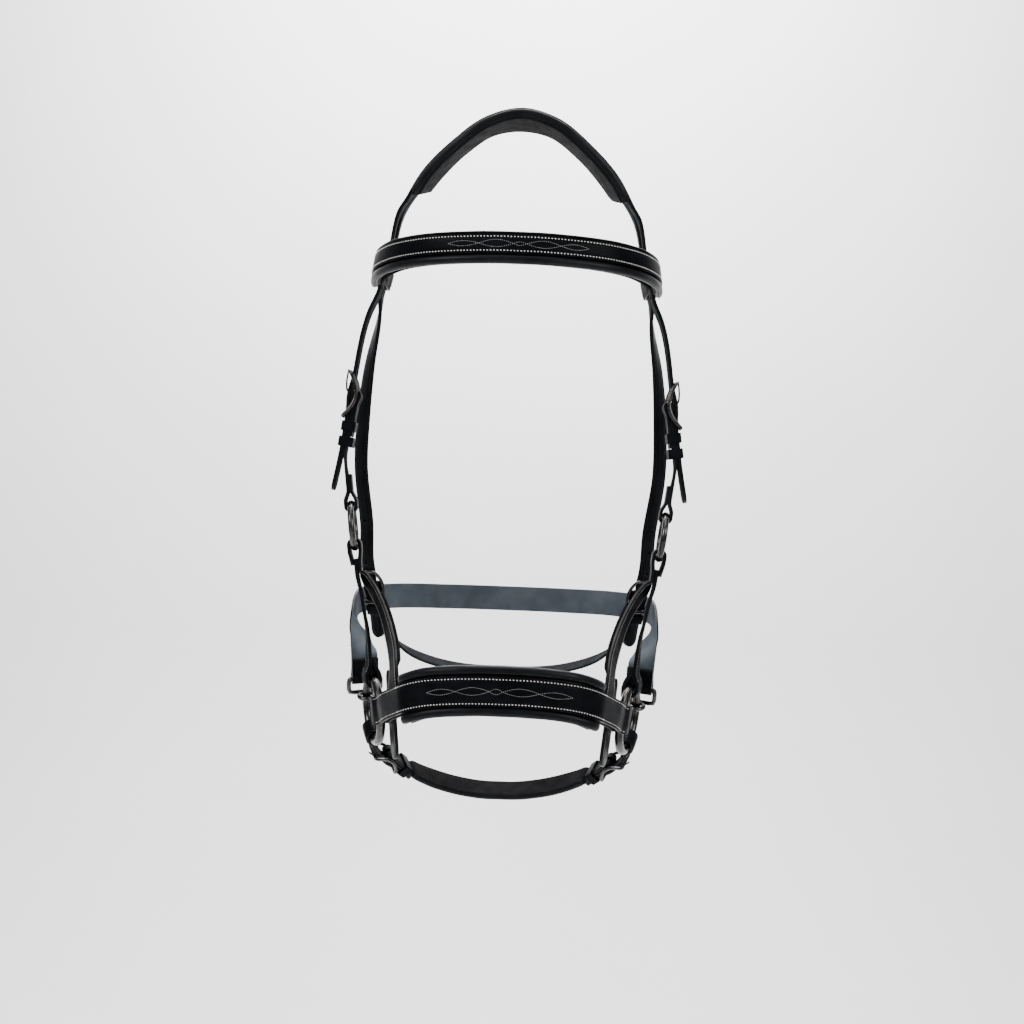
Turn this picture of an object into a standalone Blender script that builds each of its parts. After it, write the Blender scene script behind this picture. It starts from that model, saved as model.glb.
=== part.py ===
"""Sidepull bridle, full horse size, as it hangs on a head whose face looks along -Y.

Metres, +Z up. The origin is the poll seat: the middle of the crown pad's underside.
Left and right are the horse's, and its left is at +X. Run with: blender --background --python part.py
"""

from dataclasses import dataclass
import math

import bmesh
import bpy
from mathutils import Vector
import numpy as np

MM = 0.001

# Where the parts hang, from the poll seat
BROW_DROP = 119 * MM
SPLIT_DROP = 58 * MM
CHEEK_DROP = 224 * MM
SMALL_RING_DROP = 331 * MM
NOSE_DROP = 448 * MM
BIG_RING_DROP = 479 * MM
CHIN_DROP = 556 * MM
THROAT_BUCKLE_DROP = 382 * MM
THROAT_DROP = 456 * MM
JAW_DROP = 394 * MM

# Half widths across the head
SPLIT_HALF = 92 * MM
BROW_HALF = 110 * MM
CHEEK_HALF = 128.5 * MM
SMALL_RING_HALF = 127 * MM
BIG_RING_HALF = 103 * MM
THROAT_HALF = 112 * MM

# Depths, from the poll seat towards the neck, and towards the face
FACE_FRONT = 110 * MM
BIG_RING_FRONT = 10 * MM
SMALL_RING_BACK = 5 * MM
CROWN_BACK = 22.5 * MM
CHEEK_BACK = 11 * MM
CHIN_BACK = 62 * MM
THROAT_BUCKLE_BACK = 60 * MM
THROAT_BACK = 112 * MM
JAW_BACK = 137 * MM

# Leather
SEAT = 0.3 * MM
SLACK = 0.5 * MM
CROWN_WIDTH = 36 * MM
CROWN_SLIT = 4 * MM
CROWN_LEATHER = 3 * MM
CROWN_PAD_WIDTH = 42 * MM
CROWN_PAD_THICKNESS = 7 * MM
BROW_STRAP_WIDTH = 14 * MM
BROW_STRAP_LIFT = 2.4 * MM
BROW_SAG = 5 * MM
BROW_PAD_WIDTH = 24 * MM
BROW_PAD_THICKNESS = 6 * MM
BROW_LOOP_ROOM = 3.2 * MM
BROW_LEATHER = 2.6 * MM
NOSE_STRAP_WIDTH = 22 * MM
NOSE_PAD_WIDTH = 38 * MM
NOSE_PAD_THICKNESS = 7 * MM
NOSE_LEATHER = 3 * MM
LINING_LEATHER = 2 * MM
BILLET_WIDTH = (CROWN_WIDTH - CROWN_SLIT) / 2
CHEEK_WIDTH = BILLET_WIDTH
CHEEK_LEATHER = 2.4 * MM
BRANCH_WIDTH = 17 * MM
REAR_BRANCH_WIDTH = 15 * MM
BRANCH_LEATHER = 2.8 * MM
THROAT_WIDTH = BILLET_WIDTH
THROAT_LEATHER = 2.2 * MM
CHIN_WIDTH = 15 * MM
CHIN_LEATHER = 2.4 * MM
CHIN_PAD_WIDTH = 22 * MM
CHIN_PAD_THICKNESS = 4.5 * MM
JAW_WIDTH = 22 * MM
JAW_LEATHER = 2.6 * MM
KEEPER_LEATHER = 1.6 * MM
KEEPER_LENGTH = 8 * MM

# Metal
BIG_RING_DIAMETER = 59 * MM
BIG_RING_WIRE = 7 * MM
SMALL_RING_DIAMETER = 42 * MM
SMALL_RING_WIRE = 5.2 * MM
CHEEK_BUCKLE_LENGTH = 40 * MM
SMALL_BUCKLE_LENGTH = 30 * MM
LINK_RADIUS = 6.2 * MM
LINK_WIRE = 3.8 * MM

# How the sections are drawn
DENSE = 1.5 * MM
REACH = 24 * MM
CLOSEST = 0.7 * MM
TURN = math.radians(20)
FLAT_HALF = 9 * MM
RIM_SIDES = 6
RING_STEPS = 36
RING_SIDES = 8


def unit(vector):
    """The vector at length one, or each row of a table of them."""
    vector = np.asarray(vector, float)
    return vector / np.linalg.norm(vector, axis=-1, keepdims=True)


LINE_SHARES = (0, 0.5, 0.87, 1)


def straight(start, end):
    """Points that keep a curve straight from start to end."""
    return [start + (end - start) * share for share in LINE_SHARES]


def within(marks, start, end):
    """The marks from start to end, so that two bands turn at the same places."""
    return [s for s in marks if start - CLOSEST < s < end + CLOSEST]


def between(start, end, shares):
    """Points at the given shares of the way from start to end, axis by axis."""
    start, end = np.array(start), np.array(end)
    return [start + (end - start) * np.array(share) for share in shares]


def smooth(points, faces, start_along=None):
    """A closely spaced curve through the points, with the facing at each of its points."""
    points, faces = np.array(points, float), unit(faces)
    steps = np.linalg.norm(np.diff(points, axis=0), axis=1)
    both = np.hstack([points, faces])
    slopes = np.diff(both, axis=0) / steps[:, None]
    tangents = np.empty_like(both)
    tangents[0], tangents[-1] = slopes[0], slopes[-1]
    weights = steps[:, None]
    tangents[1:-1] = (slopes[1:] * weights[:-1] + slopes[:-1] * weights[1:]) / (weights[1:] + weights[:-1])
    if start_along is not None:
        tangents[0, :3] = start_along
        tangents[0, 3:] = 0
    line = []
    for k, step in enumerate(steps):
        count = max(2, math.ceil(step / DENSE))
        for t in np.arange(count) / count:
            a, b = both[k], both[k + 1]
            p, q = tangents[k] * step, tangents[k + 1] * step
            here = (2 * t**3 - 3 * t**2 + 1) * a + (t**3 - 2 * t**2 + t) * p
            line.append(here + (3 * t**2 - 2 * t**3) * b + (t**3 - t**2) * q)
    line.append(both[-1])
    line = np.array(line)
    return line[:, :3], unit(line[:, 3:])


class Path:
    """The middle of a strap: points close together, and the way its outer face looks at each."""

    def __init__(self, points, faces):
        points, faces = np.array(points, float), unit(faces)
        keep = np.concatenate([[True], np.linalg.norm(np.diff(points, axis=0), axis=1) > 1e-6])
        self.points, faces = points[keep], faces[keep]
        steps = np.linalg.norm(np.diff(self.points, axis=0), axis=1)
        self.s = np.concatenate([[0], np.cumsum(steps)])
        self.length = self.s[-1]
        self.along = unit(np.gradient(self.points, self.s, axis=0))
        self.faces = unit(faces - (faces * self.along).sum(1)[:, None] * self.along)

    def at(self, s):
        """The point at s, and its along, across and outward directions."""
        point, along, face = (
            np.array([np.interp(s, self.s, table[:, k]) for k in range(3)])
            for table in (self.points, self.along, self.faces)
        )
        along = unit(along)
        face = unit(face - (face @ along) * along)
        return point, along, np.cross(along, face), face

    def marks(self, start=0.0, end=None, extra=()):
        """Where cross-sections go between start and end: closer together where the strap turns."""
        end = self.length if end is None else end
        fixed = sorted({start, end, *[s for s in extra if start < s < end]})
        marks = []
        turned, last = 0.0, start
        for k in range(1, len(self.s)):
            if not start < self.s[k] < end:
                continue
            turned += math.acos(min(1, self.along[k] @ self.along[k - 1]))
            turned += math.acos(min(1, self.faces[k] @ self.faces[k - 1])) / 2
            if turned >= TURN or self.s[k] - last >= REACH:
                marks.append(float(self.s[k]))
                turned, last = 0.0, self.s[k]
        marks = [m for m in marks if all(abs(m - f) > CLOSEST for f in fixed)]
        return sorted(fixed + marks)


def run(path, start, end, offset):
    """Points of one ply of a folded strap along a path, from start to end, moved out by offset(s)."""
    count = max(2, math.ceil(abs(end - start) / DENSE) + 1)
    points, faces = [], []
    for s in np.linspace(start, end, count):
        point, _, _, face = path.at(s)
        shift = offset(s)
        points.append(point + face * shift)
        faces.append(face if shift >= 0 else -face)
    return points, faces


def bend(centre, leg, out, radius):
    """A half turn round a wire, from its outer side, away from the leg, to its inner side."""
    angles = np.linspace(0, math.pi, 25)[1:-1]
    ways = [out * math.cos(a) - leg * math.sin(a) for a in angles]
    return [centre + radius * way for way in ways], ways


def join(*pieces):
    """One path from several runs and bends."""
    points = [p for piece in pieces for p in piece[0]]
    faces = [f for piece in pieces for f in piece[1]]
    return Path(points, faces)


def backwards(piece):
    """A run or bend in the other direction."""
    return piece[0][::-1], piece[1][::-1]


def eased(s, centre, near, far, spread, hold=0.0):
    """near at centre and hold from it, turning smoothly to far over a further spread."""
    share = min(max(abs(s - centre) - hold, 0) / spread, 1)
    return far + (near - far) * (1 + math.cos(math.pi * share)) / 2


class Shell:
    """A sheet with an outer and an inner skin, closed round every edge and hole."""

    def __init__(self):
        self.skins = {}
        self.faces = []

    def point(self, key, outer, inner):
        self.skins[key] = (outer, inner)

    def band(self, tag, path, marks, section, holes=(), first=None, mirror=False):
        """Cross-sections at the marks, joined by faces.

        section(s) gives the columns there, each across, outer and inner; holes are stretches whose
        middle column is left out, and there the section has four columns. first names columns that
        another band has made.
        """
        rows = []
        for i, s in enumerate(marks):
            point, _, across, face = path.at(s)
            keys = []
            for j, (aside, outer, inner) in enumerate(section(s)):
                key = first[j] if first and i == 0 else (tag, i, j)
                if not (first and i == 0):
                    base = point + across * aside
                    skins = [base + face * outer, base + face * inner]
                    if mirror:
                        skins = [skin * np.array([-1, 1, 1]) for skin in skins]
                    self.point(key, *skins)
                keys.append(key)
            rows.append(keys)
        for i in range(len(rows) - 1):
            a, b = rows[i], rows[i + 1]
            middle = (marks[i] + marks[i + 1]) / 2
            if len(a) == len(b):
                holed = any(low < middle < high for low, high in holes)
                for j in range(len(a) - 1):
                    if not (holed and j == 1):
                        self.faces.append((a[j], a[j + 1], b[j + 1], b[j]))
            else:
                self.faces.append((*a, *b[::-1]))
        return rows

    def mesh(self):
        """The sheet as points and faces."""
        keys = list(self.skins)
        number = {key: i for i, key in enumerate(keys)}
        points = [self.skins[key][0] for key in keys] + [self.skins[key][1] for key in keys]
        under = len(keys)
        faces, edges = [], {}
        for face in self.faces:
            top = [number[key] for key in face]
            # Each quad is split the same way, so that a pad follows its strap
            for part in ([top[:3], [top[0], *top[2:]]] if len(top) == 4 else [top]):
                faces.append(part)
                faces.append([i + under for i in part[::-1]])
            for a, b in zip(top, top[1:] + top[:1]):
                edge = (min(a, b), max(a, b))
                edges[edge] = edges.get(edge, 0) + 1
        for (a, b), count in edges.items():
            if count == 1:
                faces.append([b, a, a + under, b + under])
        return points, faces


def flat(width, thickness):
    """The section of a plain strap."""
    return lambda s: [(-width / 2, thickness / 2, -thickness / 2), (width / 2, thickness / 2, -thickness / 2)]


TIP_SHARES = (0, 0.35, 0.7, 0.92)


def tipped(width, thickness, end, tip, holes=(), hole_width=0.0, start_tip=None):
    """The section of a strap with a rounded tip at end, and a middle column round each hole."""

    def section(s):
        half = width / 2
        if s > end - tip:
            half *= math.sqrt(max(1 - ((s - end + tip) / tip) ** 2, 0.06))
        if start_tip is not None and s < start_tip:
            half *= math.sqrt(max(1 - ((start_tip - s) / start_tip) ** 2, 0.06))
        asides = [-half, half]
        if any(low - 1e-9 <= s <= high + 1e-9 for low, high in holes):
            asides = [-half, -hole_width / 2, hole_width / 2, half]
        return [(aside, thickness / 2, -thickness / 2) for aside in asides]

    return section


def tip_marks(end, tip):
    """Where a rounded tip needs its cross-sections."""
    return [end - tip + tip * share for share in TIP_SHARES]


def tube(points, reference, radius, sides, closed=False):
    """A round bar along the points; reference is a direction that it never runs along."""
    points = np.array(points)
    ahead, behind = np.roll(points, -1, axis=0), np.roll(points, 1, axis=0)
    if not closed:
        ahead[-1], behind[0] = points[-1], points[0]
    along = unit(ahead - behind)
    first = unit(np.cross(along, reference))
    second = np.cross(first, along)
    verts, faces = [], []
    for p, a, b in zip(points, first, second):
        for k in range(sides):
            angle = 2 * math.pi * (k + 0.5) / sides
            verts.append(p + radius * (a * math.cos(angle) + b * math.sin(angle)))
    count = len(points)
    for i in range(count if closed else count - 1):
        for k in range(sides):
            a, b = i * sides, (i + 1) % count * sides
            faces.append([a + k, a + (k + 1) % sides, b + (k + 1) % sides, b + k])
    if not closed:
        faces.append(list(range(sides))[::-1])
        faces.append([(count - 1) * sides + k for k in range(sides)])
    return verts, faces


def finish_material(name, colour, roughness, metallic=0.0):
    """A plain Principled finish."""
    material = bpy.data.materials.new(name)
    material.use_nodes = True
    shader = material.node_tree.nodes["Principled BSDF"]
    shader.inputs["Base Color"].default_value = (*colour, 1)
    shader.inputs["Roughness"].default_value = roughness
    shader.inputs["Metallic"].default_value = metallic
    material.diffuse_color = (*colour, 1)
    return material


def add(name, shape, material, origin=(0, 0, 0), side=1):
    """One object from points and faces; side -1 is the mirror image on the horse's right."""
    points, faces = shape
    flip = np.array([side, 1, 1])
    origin = np.array(origin) * flip
    mesh = bpy.data.meshes.new(name)
    mesh.from_pydata([Vector(p * flip - origin) for p in points], [], faces)
    work = bmesh.new()
    work.from_mesh(mesh)
    bmesh.ops.recalc_face_normals(work, faces=work.faces)
    work.to_mesh(mesh)
    work.free()
    mesh.materials.append(material)
    thing = bpy.data.objects.new(name, mesh)
    thing.location = Vector(origin)
    bpy.context.scene.collection.objects.link(thing)
    return thing


def unite(thing, shape):
    """Joins a second solid to an object, by a Boolean union."""
    points, faces = shape
    other = add(thing.name + "_joined", shape, thing.data.materials[0])
    other.location = (0, 0, 0)
    join_up = thing.modifiers.new("join", "BOOLEAN")
    join_up.operation = "UNION"
    join_up.solver = "EXACT"
    join_up.object = other
    bpy.context.view_layer.update()
    graph = bpy.context.evaluated_depsgraph_get()
    whole = bpy.data.meshes.new_from_object(thing.evaluated_get(graph))
    thing.modifiers.clear()
    old, thing.data = thing.data, whole
    bpy.data.meshes.remove(old)
    bpy.data.objects.remove(other)


def shade(thing, angle):
    """Smooth shading with edges kept sharper than angle."""
    thing.data.shade_smooth()
    thing.data.set_sharp_from_angle(angle=math.radians(angle))


@dataclass(frozen=True)
class Ring:
    """A round ring: its middle, its way to the front and up in its own plane, and its sizes."""

    centre: np.ndarray
    front: np.ndarray
    up: np.ndarray
    radius: float
    wire: float

    @property
    def axis(self):
        return np.cross(self.up, self.front)

    def way(self, degrees):
        """The direction from the middle at an angle that starts at the front and rises."""
        angle = math.radians(degrees)
        return self.front * math.cos(angle) + self.up * math.sin(angle)

    def tangent(self, degrees):
        return self.way(degrees + 90)

    def fold(self, degrees, width):
        """Where a strap's fold turns, so that its edges clear the ring's curve."""
        inside = math.sqrt((self.radius - self.wire) ** 2 - (width / 2 + SEAT) ** 2)
        return self.centre + self.way(degrees) * (inside + self.wire)

    def hold(self, width):
        """How far past its turn a fold goes on clearing the wire."""
        inside = math.sqrt((self.radius - self.wire) ** 2 - (width / 2 + SEAT) ** 2)
        return self.radius - inside - self.wire / 2

    def shape(self):
        angles = [360 * k / RING_STEPS for k in range(RING_STEPS)]
        points = [self.centre + self.way(a) * self.radius for a in angles]
        return tube(points, self.axis, self.wire, RING_SIDES, closed=True)


def make_ring(centre, yaw, lean, diameter, wire):
    """A ring beside the head, turned by yaw about the upright and leaning out at the top by lean."""
    yaw, lean = math.radians(yaw), math.radians(lean)
    front = np.array([-math.sin(yaw), -math.cos(yaw), 0])
    side = np.array([math.cos(yaw), -math.sin(yaw), 0])
    up = np.array([0, 0, 1]) * math.cos(lean) + side * math.sin(lean)
    return Ring(np.array(centre), front, up, (diameter - wire) / 2, wire / 2)


BIG_RING_YAW, BIG_RING_LEAN = 18, 5.9
SMALL_RING_YAW, SMALL_RING_LEAN = 2, 7
BIG_RING = make_ring(
    (BIG_RING_HALF, -BIG_RING_FRONT, -BIG_RING_DROP), BIG_RING_YAW, BIG_RING_LEAN, BIG_RING_DIAMETER, BIG_RING_WIRE
)
SMALL_RING = make_ring(
    (SMALL_RING_HALF, SMALL_RING_BACK, -SMALL_RING_DROP),
    SMALL_RING_YAW,
    SMALL_RING_LEAN,
    SMALL_RING_DIAMETER,
    SMALL_RING_WIRE,
)

# Where each fold sits on its ring, in degrees from the front, rising
NOSE_FOLD = 7
REAR_BRANCH_FOLD = 90
LINK_FOLD = 163
CHIN_FOLD = -125
CHEEK_FOLD = 90
BRANCH_FOLD = -90


@dataclass(frozen=True)
class Buckle:
    """A whole buckle at the end of one strap, with the billet of another through it.

    Heights are counted along the strap from the middle bar, up towards the billet, and depths out
    of the strap's face.
    """

    bar: np.ndarray
    up: np.ndarray
    out: np.ndarray
    width: float
    ply: float
    billet: float
    length: float
    rim: float
    pin: float

    @property
    def across(self):
        return np.cross(self.up, self.out)

    @property
    def half(self):
        """Height of the end bars."""
        return self.length / 2 - self.rim

    @property
    def side(self):
        """Distance of the side bars from the middle."""
        return self.width / 2 + 2 * SLACK + self.rim

    @property
    def lap(self):
        """Depth of each ply of the folded strap."""
        return (self.ply + SEAT) / 2

    @property
    def fold(self):
        """Radius of the fold round the middle bar."""
        return self.pin + SLACK + self.ply / 2

    @property
    def under(self):
        """Depth of the billet where it passes under the end bars."""
        return self.lap + self.ply / 2 + SEAT + self.billet / 2

    @property
    def over(self):
        """Depth of the billet over the middle bar."""
        return self.fold + self.ply / 2 + SEAT + self.billet / 2

    @property
    def crest(self):
        """Depth of the end bars."""
        return self.under + self.billet / 2 + SEAT + self.rim

    def place(self, height, depth, aside=0.0):
        return self.bar + self.up * height + self.out * depth + self.across * aside

    def hole(self):
        """The heights between which the billet's hole lets the tongue through."""
        return -self.pin * 2, self.crest * 0.9

    def hole_width(self):
        return self.tongue_width() + 2 * SLACK

    def tongue_width(self):
        return self.pin * 2

    def tongue_thickness(self):
        return self.pin * 1.1

    def frame(self):
        """The rim, a bowed loop whose ends stand out, as points and faces."""
        corner = self.rim * 1.6
        turns = [math.radians(a) for a in (0, 30, 60, 90)]
        quarter = [
            (self.half - corner + corner * math.cos(a), self.side - corner + corner * math.sin(a)) for a in turns
        ]
        flank = [((self.half - corner) * share, self.side) for share in (0.66, 0.33)]
        right = quarter + flank
        points = right + [(0, self.side)] + [(-h, w) for h, w in right[::-1]]
        points += [(-h, -w) for h, w in points]
        return tube(
            [self.place(h, self.crest * (h / self.half) ** 2, w) for h, w in points],
            self.out + self.across * 1e-3,
            self.rim,
            RIM_SIDES,
            closed=True,
        )

    def middle_bar(self):
        points = [self.place(0, 0, self.side * share) for share in (-1, 1)]
        return tube(points, self.out, self.pin, RIM_SIDES)

    def tongue(self):
        """The tongue: an eye round the middle bar, then a shank through the billet to the top bar."""
        thick = self.tongue_thickness()
        radius = self.pin + SLACK / 2 + thick / 2
        eye = [math.radians(a) for a in range(-80, -251, -15)]
        points = [self.place(radius * math.cos(a), radius * math.sin(a)) for a in eye]
        faces = [self.up * math.cos(a) + self.out * math.sin(a) for a in eye]
        rest = self.crest + self.rim + SEAT + thick / 2
        rise = [
            (self.pin * 0.7, self.over - self.billet / 2 - thick / 4),
            (self.pin * 2, (self.over + rest) / 2),
            (self.half * 0.45, rest - thick / 4),
            (self.half, rest),
            (self.half + self.rim * 1.3, rest),
        ]
        shank = [self.place(*pair) for pair in rise]
        tilt = [self.out - self.up, self.out * 0.3 - self.up, self.out - self.up * 0.5, self.out, self.out]
        line = smooth([points[-1], *shank], [faces[-1], *tilt])
        path = join((points, faces), (list(line[0][1:]), list(line[1][1:])))
        shell = Shell()
        shell.band("tongue", path, path.marks(), flat(self.tongue_width(), thick))
        return shell.mesh()

    def bar_marks(self, path, below):
        """Where a billet passes under the end bars, and where it stops lying flat on the strap."""
        return [nearest(path, self.place(height, self.under)) for height in (self.half, -self.half, -below)]

    def billet_points(self, above, below):
        """The billet's middle through the buckle: above the top bar, over the middle, and down to below."""
        upper = straight(self.place(above, self.under), self.place(self.half, self.under))
        lower = straight(self.place(-below, self.under), self.place(-self.half, self.under))
        return [*upper, self.place(0, self.over), *lower[::-1]]

    def keeper(self, height, loose=0.0):
        """A loop of leather round strap and billet; loose is the room it has to slide."""
        low, high = -self.lap - self.ply / 2, self.under + self.billet / 2
        middle = self.place(height, (high + low) / 2)
        shell = Shell()
        rows = []
        room = SEAT + loose
        skins = [
            outline((high - low) / 2 + gap, self.width / 2 + gap, KEEPER_LEATHER * share)
            for gap, share in ((room + KEEPER_LEATHER, 0.9), (room, 0.1))
        ]
        for i, (outer, inner) in enumerate(zip(*skins)):
            row = []
            for j, end in enumerate((-KEEPER_LENGTH / 2, KEEPER_LENGTH / 2)):
                base = middle + self.up * end
                pair = [base + self.out * depth + self.across * aside for depth, aside in (outer, inner)]
                shell.point((i, j), *pair)
                row.append((i, j))
            rows.append(row)
        for a, b in zip(rows, rows[1:] + rows[:1]):
            shell.faces.append((a[0], a[1], b[1], b[0]))
        return shell.mesh()


def outline(tall, wide, cut):
    """A rectangle's corners, each cut across, as half heights and half widths."""
    corners = [(tall, wide - cut), (tall - cut, wide), (cut - tall, wide), (-tall, wide - cut)]
    return corners + [(-a, -b) for a, b in corners]


def folded_strap(line, head, tail, hold, ply, lap, head_back, tail_back):
    """A strap doubled back at both ends of a line, round a bar at its head and a wire at its tail.

    head and tail are the fold radii, hold how far the tail's fold stays wide, lap the depth of each
    ply, and the backs the lengths of the turned-back plies.
    """
    spread = 4 * ply

    def depth(s):
        near_head = eased(s, 0, head, lap, spread)
        near_tail = eased(s, line.length, tail, lap, spread, hold)
        return max(near_head, near_tail)

    _, along, _, out = line.at(0)
    over_head = bend(line.points[0], along, out, head)
    _, along, _, out = line.at(line.length)
    over_tail = bend(line.points[-1], -along, out, tail)
    return join(
        run(line, head_back, 0, lambda s: -depth(s)),
        backwards(over_head),
        run(line, 0, line.length, depth),
        over_tail,
        run(line, line.length, line.length - tail_back, lambda s: -depth(s)),
    )


def symmetric(tag, shell, path, section, marks):
    """A band over both sides of the head from the half that starts near the middle."""
    left = shell.band(tag + "_left", path, marks, section)
    right = shell.band(tag + "_right", path, marks, section, mirror=True)
    a, b = right[0], left[0]
    for j in range(len(a) - 1):
        shell.faces.append((a[j], a[j + 1], b[j + 1], b[j]))
    return shell


CHEEK_LEAN = math.radians(7.8)
CHEEK_BUCKLE = Buckle(
    bar=np.array([CHEEK_HALF, CHEEK_BACK, -CHEEK_DROP]),
    up=np.array([-math.sin(CHEEK_LEAN), 0, math.cos(CHEEK_LEAN)]),
    out=np.array([math.cos(CHEEK_LEAN), 0, math.sin(CHEEK_LEAN)]),
    width=CHEEK_WIDTH,
    ply=CHEEK_LEATHER,
    billet=CROWN_LEATHER,
    length=CHEEK_BUCKLE_LENGTH,
    rim=1.6 * MM,
    pin=1.4 * MM,
)


def squared(up, out):
    """Two directions made square to each other, the first kept."""
    up = unit(up)
    out = np.array(out, float)
    return up, unit(out - (out @ up) * up)


THROAT_UP, THROAT_OUT = squared((0.186, -0.147, 0.97), (0.743, -0.669, 0))
THROAT_BUCKLE = Buckle(
    bar=np.array([THROAT_HALF, THROAT_BUCKLE_BACK, -THROAT_BUCKLE_DROP]),
    up=THROAT_UP,
    out=THROAT_OUT,
    width=THROAT_WIDTH,
    ply=THROAT_LEATHER,
    billet=CROWN_LEATHER,
    length=SMALL_BUCKLE_LENGTH,
    rim=1.4 * MM,
    pin=1.2 * MM,
)
CHIN_SWING = math.radians(12)
CHIN_REACH = 21 * MM
CHIN_WAY = BIG_RING.way(CHIN_FOLD) * math.cos(CHIN_SWING) - BIG_RING.axis * math.sin(CHIN_SWING)
CHIN_FACE = BIG_RING.axis * math.cos(CHIN_SWING) + BIG_RING.way(CHIN_FOLD) * math.sin(CHIN_SWING)
CHIN_BACK_PLY = 14 * MM
CHIN_UP, CHIN_OUT = squared((0.55, -0.65, 0.52), (0.75, 0.1, -0.65))
CHIN_WIRE = BIG_RING.fold(CHIN_FOLD, CHIN_WIDTH)
CHIN_BUCKLE = Buckle(
    bar=CHIN_WIRE + CHIN_WAY * CHIN_BACK_PLY - CHIN_UP * CHIN_REACH,
    up=CHIN_UP,
    out=CHIN_OUT,
    width=CHIN_WIDTH,
    ply=CHIN_LEATHER,
    billet=CHIN_LEATHER,
    length=SMALL_BUCKLE_LENGTH,
    rim=1.4 * MM,
    pin=1.2 * MM,
)

# The crown from the poll to the split, in shares of the way from one to the other
CROWN_DIP = 0.604 * MM
CROWN_TOP = CROWN_PAD_THICKNESS + SEAT + CROWN_LEATHER / 2 + CROWN_DIP
CROWN_START = np.array([0, 0, CROWN_TOP])
CROWN_SPLIT = np.array([SPLIT_HALF, CROWN_BACK, -SPLIT_DROP])
ARCH_SHARES = ((0, 0, 0), (0.3, 0.03, 0.09), (0.58, 0.25, 0.35), (0.82, 0.62, 0.66), (1, 1, 1))
ARCH_FACING = ((0, 0, 1), (0.33, -0.05, 0.94), (0.6, -0.05, 0.8), (0.76, 0, 0.65), (0.92, 0, 0.39))
CROWN_LINE = Path(*smooth(between(CROWN_START, CROWN_SPLIT, ARCH_SHARES), ARCH_FACING, (1, 0, 0)))
BILLET_ASIDE = (CROWN_WIDTH + CROWN_SLIT) / 4

# The billets' middle at the browband's loop
BROW_LEAN = math.radians(14)
BROW_OUT = np.array([math.cos(BROW_LEAN), 0, math.sin(BROW_LEAN)])
BROW_SEAT = np.array([BROW_HALF, CROWN_BACK, -BROW_DROP - BROW_SAG])
BROW_DOWN = np.array([math.sin(BROW_LEAN), 0, -math.cos(BROW_LEAN)])

# The billets between the browband and their buckles, in shares of the way
FRONT_SHARES = ((0.55, 0.7, 0.42),)
REAR_SHARES = ((0.5, 0.16, 0.11), (1.4, 0.48, 0.29), (1.9, 0.72, 0.47), (2.0, 0.84, 0.65), (1.25, 0.96, 0.86))
REAR_FACING = ((0.97, -0.15, 0.24), (0.85, -0.5, 0.1), (0.75, -0.66, 0), (0.74, -0.67, 0), (0.74, -0.67, 0.05))
CHEEK_TAIL = 80 * MM
THROAT_TAIL = 45 * MM
CHIN_TAIL = 36 * MM
TIP_LENGTH = 7 * MM

# How far below the middle bar each billet lies flat on its strap
CHEEK_LIE = CHEEK_BUCKLE.half + 3.2 * KEEPER_LENGTH
THROAT_LIE = THROAT_BUCKLE.half + 1.8 * KEEPER_LENGTH
CHIN_LIE = CHIN_BUCKLE.half + 1.8 * KEEPER_LENGTH


LOOP_SHARES = (0.95, 0.75, -0.75, -0.95)


def billet_lines():
    """The middles of the front and rear billets, from the crown's split to their tips."""
    point, along, across, face = CROWN_LINE.at(CROWN_LINE.length)
    back = across * math.copysign(1, across[1])
    buckle = CHEEK_BUCKLE
    seat = BROW_SEAT - np.array([0, BILLET_ASIDE, 0])
    front = [point - back * BILLET_ASIDE, point - back * BILLET_ASIDE + along * REACH / 3]
    front += [seat - BROW_DOWN * BROW_STRAP_WIDTH * share for share in LOOP_SHARES]
    top = buckle.place(buckle.half + 4 * buckle.rim, buckle.under)
    front += between(seat, top, FRONT_SHARES)
    facing = [face, face] + [BROW_OUT] * 4 + [unit(BROW_OUT + buckle.out)]
    front += buckle.billet_points(buckle.half + 4 * buckle.rim, CHEEK_LIE)
    front.append(buckle.place(-CHEEK_TAIL, buckle.under + CROWN_LEATHER / 2))
    facing += [buckle.out] * (len(front) - len(facing))
    front_path = Path(*smooth(front, facing))

    buckle = THROAT_BUCKLE
    seat = BROW_SEAT + np.array([0, BILLET_ASIDE, 0])
    rear = [point + back * BILLET_ASIDE, point + back * BILLET_ASIDE + along * REACH / 4]
    rear += [seat - BROW_DOWN * BROW_STRAP_WIDTH * share for share in LOOP_SHARES]
    top = buckle.place(buckle.half + 4 * buckle.rim, buckle.under)
    rear += between(seat, top, REAR_SHARES)
    facing = [face, face] + [BROW_OUT] * 4 + [*REAR_FACING]
    rear += buckle.billet_points(buckle.half + 4 * buckle.rim, THROAT_LIE)
    rear.append(buckle.place(-THROAT_TAIL, buckle.under + CROWN_LEATHER / 2))
    facing += [buckle.out] * (len(rear) - len(facing))
    return front_path, Path(*smooth(rear, facing))


def nearest(path, point):
    """How far along the path it comes nearest to the point."""
    return float(path.s[np.linalg.norm(path.points - point, axis=1).argmin()])


def hole_span(path, buckle):
    """The stretch of a billet that its hole takes, where the tongue goes through."""
    low, high = buckle.hole()
    top = nearest(path, buckle.place(high, buckle.under))
    bottom = nearest(path, buckle.place(low, buckle.over))
    return top, bottom


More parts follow.
